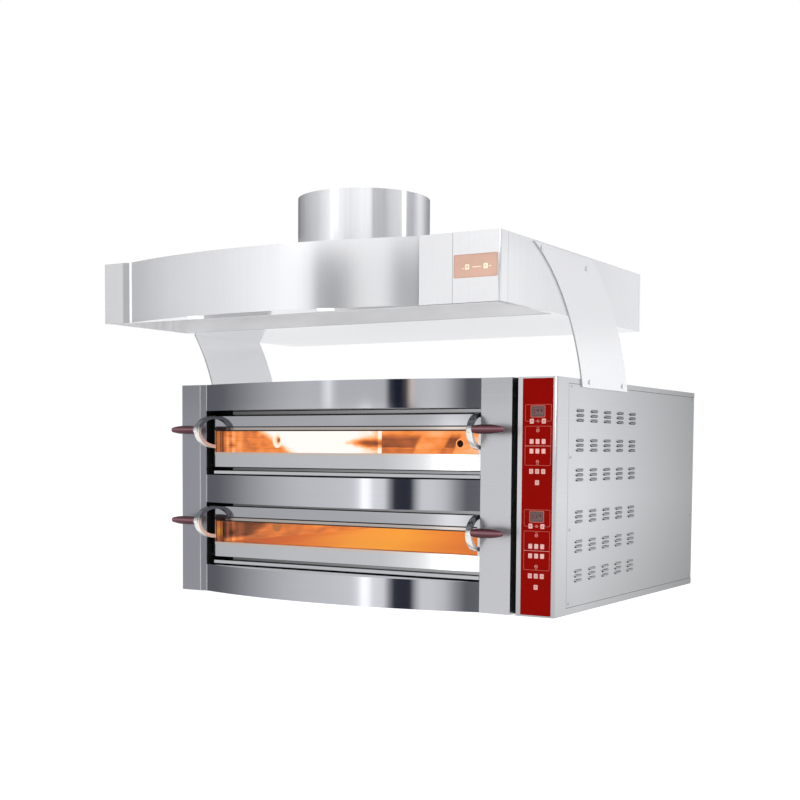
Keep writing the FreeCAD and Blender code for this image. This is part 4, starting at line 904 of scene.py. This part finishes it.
def display_digits(deck, z0, shown):
    """Seven-segment figures behind the smoked display window, with a slim bezel round it."""
    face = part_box("display_windows")[0].y
    cz = z0 + 0.188
    strokes = []
    for k, figure in enumerate(shown):
        x0, foot = KEY_X - 0.0165 + k * DIGIT_PITCH, cz - CELL
        for segment in DIGITS[figure]:
            xa, za, xb, zb = (unit * CELL for unit in SEGMENTS[segment])
            strokes.append(bar(x0 + xa, foot + za, x0 + xb, foot + zb, 0.0016))
    for k, stroke in enumerate(strokes):
        cx, cy = (sum(p[i] for p in stroke) / 4 for i in (0, 1))
        strokes[k] = [(cx + (x - cx) * SEGMENT_FILL, cy + (z - cy) * SEGMENT_FILL) for x, z in stroke]
    plate(deck + "_display_digits", strokes, face, 0.0003, DIGIT)
    bezel = [rounded(KEY_X, cz, 0.050, 0.037, 0.0035), rounded(KEY_X, cz, 0.046, 0.033, 0.0025)]
    plate(deck + "_display_bezel", bezel, OVERLAY_FACE, 0.0010, PRINT_RED, bevel=0.0003)


def key_mark(name, cx, cz):
    """Pictogram loops for one key."""
    if name.endswith("_down") or name.endswith("_up"):
        return [arrow(cx, cz, 0.0036, name.endswith("_up"))]
    if name.endswith("_light"):
        return [circle(cx, cz + 0.0008, 0.0030), circle(cx, cz + 0.0008, 0.0020),
                bar(cx - 0.0014, cz - 0.0034, cx + 0.0014, cz - 0.0034, 0.0010)]
    if name.endswith("_timer"):
        hand = bar(cx, cz, cx + 0.0016, cz + 0.0010, 0.0008)
        return [circle(cx, cz, 0.0036), circle(cx, cz, 0.0027), hand]
    if name.endswith("_program"):
        return [bar(cx - 0.003, cz + k * 0.0022, cx + 0.003, cz + k * 0.0022, 0.0009) for k in (-1, 0, 1)]
    if name.endswith("_fan"):
        blades = []
        for k in range(3):
            a = math.radians(90 + 120 * k)
            blades.append(bar(cx + 0.0009 * math.cos(a), cz + 0.0009 * math.sin(a),
                              cx + 0.0036 * math.cos(a), cz + 0.0036 * math.sin(a), 0.0018))
        return blades
    return [circle(cx, cz, 0.0034), circle(cx, cz, 0.0025), bar(cx, cz + 0.0012, cx, cz + 0.0048, 0.0012)]


def ring_xz(cx, y, cz, r, steps):
    """Points of an upright circle that faces the front."""
    return [(x, y, z) for x, z in circle(cx, cz, r, steps)]


def hole_rims():
    """Raised rims round the steam holes in the chambers' back walls, with a painted orange highlight given
    as emission.
    """
    low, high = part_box("steam_outlets")
    for deck, z0 in DECKS.items():
        rim = ring_xz((low.x + high.x) / 2, CHAMBER_BACK - 0.0012, z0 + STEAM_DZ, 0.0185, 32)
        wires(deck + "_steam_hole_rim", [rim], 0.0020, RIM)


def key_marks():
    for name in sorted(n for n in NODES if n.startswith("key_")):
        low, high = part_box(name)
        cx, cz = (low.x + high.x) / 2, (low.z + high.z) / 2
        plate(name + "_mark", key_mark(name, cx, cz), low.y, 0.00015, PRINT_RED, body=name)


# ------------------------------------------------------------------ hood label
def hood_label():
    """Plain salmon plate round the two hood keys, with three dashes beside and between them."""
    low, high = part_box("hood_control_panel")
    face = low.y
    light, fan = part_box("key_hood_light"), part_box("key_hood_fan")
    left, right = ((ends[0].x + ends[1].x) / 2 for ends in (light, fan))
    cz = (light[0].z + light[1].z) / 2
    label_x, label_z = (low.x + high.x) / 2 - 0.002, cz + 0.003
    loops = [rounded(label_x, label_z, 0.141, 0.066, 0.004)]
    loops += [rounded(x, cz, 0.0136, 0.0156, 0.001) for x in (left, right)]
    plate("hood_label", loops, face, 0.0006, SALMON, bevel=0.0002)
    marks = [bar(left + 0.016, cz - 0.001, right - 0.016, cz - 0.001, 0.0022),
             bar(left - 0.017, cz - 0.004, left - 0.011, cz - 0.004, 0.0022),
             bar(right + 0.011, cz - 0.001, right + 0.017, cz - 0.001, 0.0022)]
    plate("hood_label_marks", marks, face - 0.0006, 0.0002, CREAM)
    rim = [rounded(label_x, label_z, w, h, r)
           for w, h, r in ((0.1395, 0.0645, 0.0035), (0.1345, 0.0595, 0.0025))]
    plate("hood_label_rim", rim, face - 0.0006, 0.0002, SALMON_RIM)


# ------------------------------------------------------------------ edge beads, painted shade strips on the windows
def upright_bead(name, x, y, z0, z1, r, material):
    wires(name, [[(x, y, z0 + 0.0008), (x, y, z1 - 0.0008)]], r, material, cyclic=False)


def edge_beads():
    """Rolled left edges of the bowed panels, and the fold lines of the left column."""
    for name in ("front_panel_top", "front_panel_middle", "front_panel_bottom", "hood_front_panel"):
        hood = name.startswith("hood")
        r, set_back, edge = (0.0070, 0.35, HOOD_EDGE) if hood else (0.0030, 0.55, FOLD_EDGE)
        low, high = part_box(name)
        corner = min((v.co for v in NODES[name].data.vertices), key=lambda c: (round(c.x, 4), c.y))
        upright_bead(name + "_bead", corner.x + r * 0.6, corner.y + r * set_back, low.z, high.z, r,
                     edge)
    low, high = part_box("left_front_column")
    fold = max(v.co.x for v in NODES["left_front_column"].data.vertices if v.co.y < low.y + 0.0001)
    upright_bead("column_fold", fold, low.y + 0.0020, low.z, high.z, 0.0024, FOLD_EDGE)


SHADE_STRIP_H, FOLD_H, FOLD_DZ = 0.0044, 0.0040, 0.0112    # painted shade strips: one along the window's top edge, one as the fold line over it


def window_shade_strips():
    """Painted shade: a dark strip along the top of each window, and another as the fold line over its upper
    lip.
    """
    for deck, z0 in DECKS.items():
        glass, frame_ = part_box(deck + "_door_glass"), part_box(deck + "_door_frame")
        x0, x1 = frame_[0].x + 0.012, frame_[1].x - 0.012
        strip_z, fold = z0 + WINDOW_TOP - SHADE_STRIP_H / 2, z0 + WINDOW_TOP + FOLD_DZ
        plate(deck + "_window_shade_strip", [bar(x0, strip_z, x1, strip_z, SHADE_STRIP_H)], glass[0].y, 0.0006, SHADE_STRIP,
              body=deck + "_door")
        plate(deck + "_window_fold_shade", [bar(x0, fold, x1, fold, FOLD_H)], frame_[0].y + 0.002, 0.0003, SHADE_STRIP,
              body=deck + "_door")


# ------------------------------------------------------------------ louvres
SLOT_W, SLOT_H, SLOT_PITCH = 0.055, 0.008, 0.0155
LOUVRE_Y0, LOUVRE_Y_PITCH, LOUVRE_COLUMNS = FRONT + 0.181, 0.114, 5
LOUVRE_Z_ROWS = [top - 0.095 * n for top in (0.309, 0.633) for n in range(3)]
LIP_OUT, LIP_T = 0.0055, 0.0010


def louvre_lips(side):
    """Pressed lips over the slots: each bulges out from the slot's top edge and is open below."""
    bm = bmesh.new()
    across, down = 12, 5
    for column in range(LOUVRE_COLUMNS):
        yc = LOUVRE_Y0 + column * LOUVRE_Y_PITCH
        for zc in (row + k * SLOT_PITCH for row in LOUVRE_Z_ROWS for k in (-1, 0, 1)):
            grid = []
            for i in range(across + 1):
                s = -1 + 2 * i / across
                swell = math.sqrt(max(0.0, 1 - abs(s) ** 5))
                line = []
                for j in range(down + 1):
                    t = j / down
                    out = LIP_OUT * swell * math.sin(t * math.pi / 2)
                    z = zc + SLOT_H / 2 + 0.0020 - t * (SLOT_H * 1.05 * (0.35 + 0.65 * swell))
                    y = yc + s * (SLOT_W / 2 + 0.001)
                    line.append(bm.verts.new((side * (RIGHT + 0.0001 + out), y, z)))
                grid.append(line)
            for i in range(across):
                for j in range(down):
                    quad = [grid[i][j], grid[i + 1][j], grid[i + 1][j + 1], grid[i][j + 1]]
                    bm.faces.new(quad if side < 0 else quad[::-1]).smooth = True
    mesh = bpy.data.meshes.new("louvre_lips")
    bm.to_mesh(mesh)
    bm.free()
    place = "right" if side > 0 else "left"
    lips = add_piece(place + "_louvre_lips", mesh, LIP_STEEL)
    sheet = lips.modifiers.new("sheet", "SOLIDIFY")
    sheet.thickness, sheet.offset = LIP_T, -1.0


# ------------------------------------------------------------------ back
def fan_guard():
    """Wire guard over the cooling fan: rings joined by four bent stays."""
    low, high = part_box("cooling_fan_frame")
    cx, cz = (low.x + high.x) / 2, (low.z + high.z) / 2
    y = BACK + 0.006

    rings = [ring_xz(cx, y, cz, r, 48) for r in (0.014, 0.026, 0.038, 0.050)]
    rings.append(ring_xz(cx, BACK + 0.0016, cz, 0.058, 48))
    wires("fan_guard_rings", rings, 0.0011, MATERIALS["zinc_screw"])
    stays = []
    for k in range(4):
        a = math.radians(45 + 90 * k)
        points = [(r, out) for r, out in ((0.014, 0.0075), (0.040, 0.0075), (0.052, 0.0068), (0.058, 0.003),
                                          (0.072, 0.0018))]
        stays.append([(cx + r * math.cos(a), BACK + out, cz + r * math.sin(a)) for r, out in points])
    wires("fan_guard_stays", stays, 0.0012, MATERIALS["zinc_screw"], cyclic=False)


def rating_plate():
    """Blank aluminium plate with four rivets, on the back beside the cable gland."""
    low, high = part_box("cable_gland")
    cx, cz = low.x - 0.11, (low.z + high.z) / 2
    zinc, polished = MATERIALS["zinc_screw"], MATERIALS["polished_steel"]
    plate("rating_plate", [rounded(cx, cz, 0.09, 0.055, 0.004)], BACK, 0.0008, zinc,
          bevel=0.0002, facing="back")
    rivets = [circle(cx + sx * 0.040, cz + sz * 0.0225, 0.0018, 12) for sx in (-1, 1) for sz in (-1, 1)]
    plate("rating_plate_rivets", rivets, BACK + 0.0008, 0.0008, polished,
          bevel=0.0003, facing="back")


SCENE.view_settings.view_transform = "Standard"
make_camera()
make_world()
make_floor()
make_lights()
dress_cad()
for deck, height, shown in (("lower", DECKS["lower"], "250"), ("upper", DECKS["upper"], "300")):
    overlay_print(deck, height)
    display_digits(deck, height, shown)
key_marks()
hole_rims()
hood_label()
edge_beads()
window_shade_strips()
for hand in (-1, 1):
    louvre_lips(hand)
fan_guard()
rating_plate()
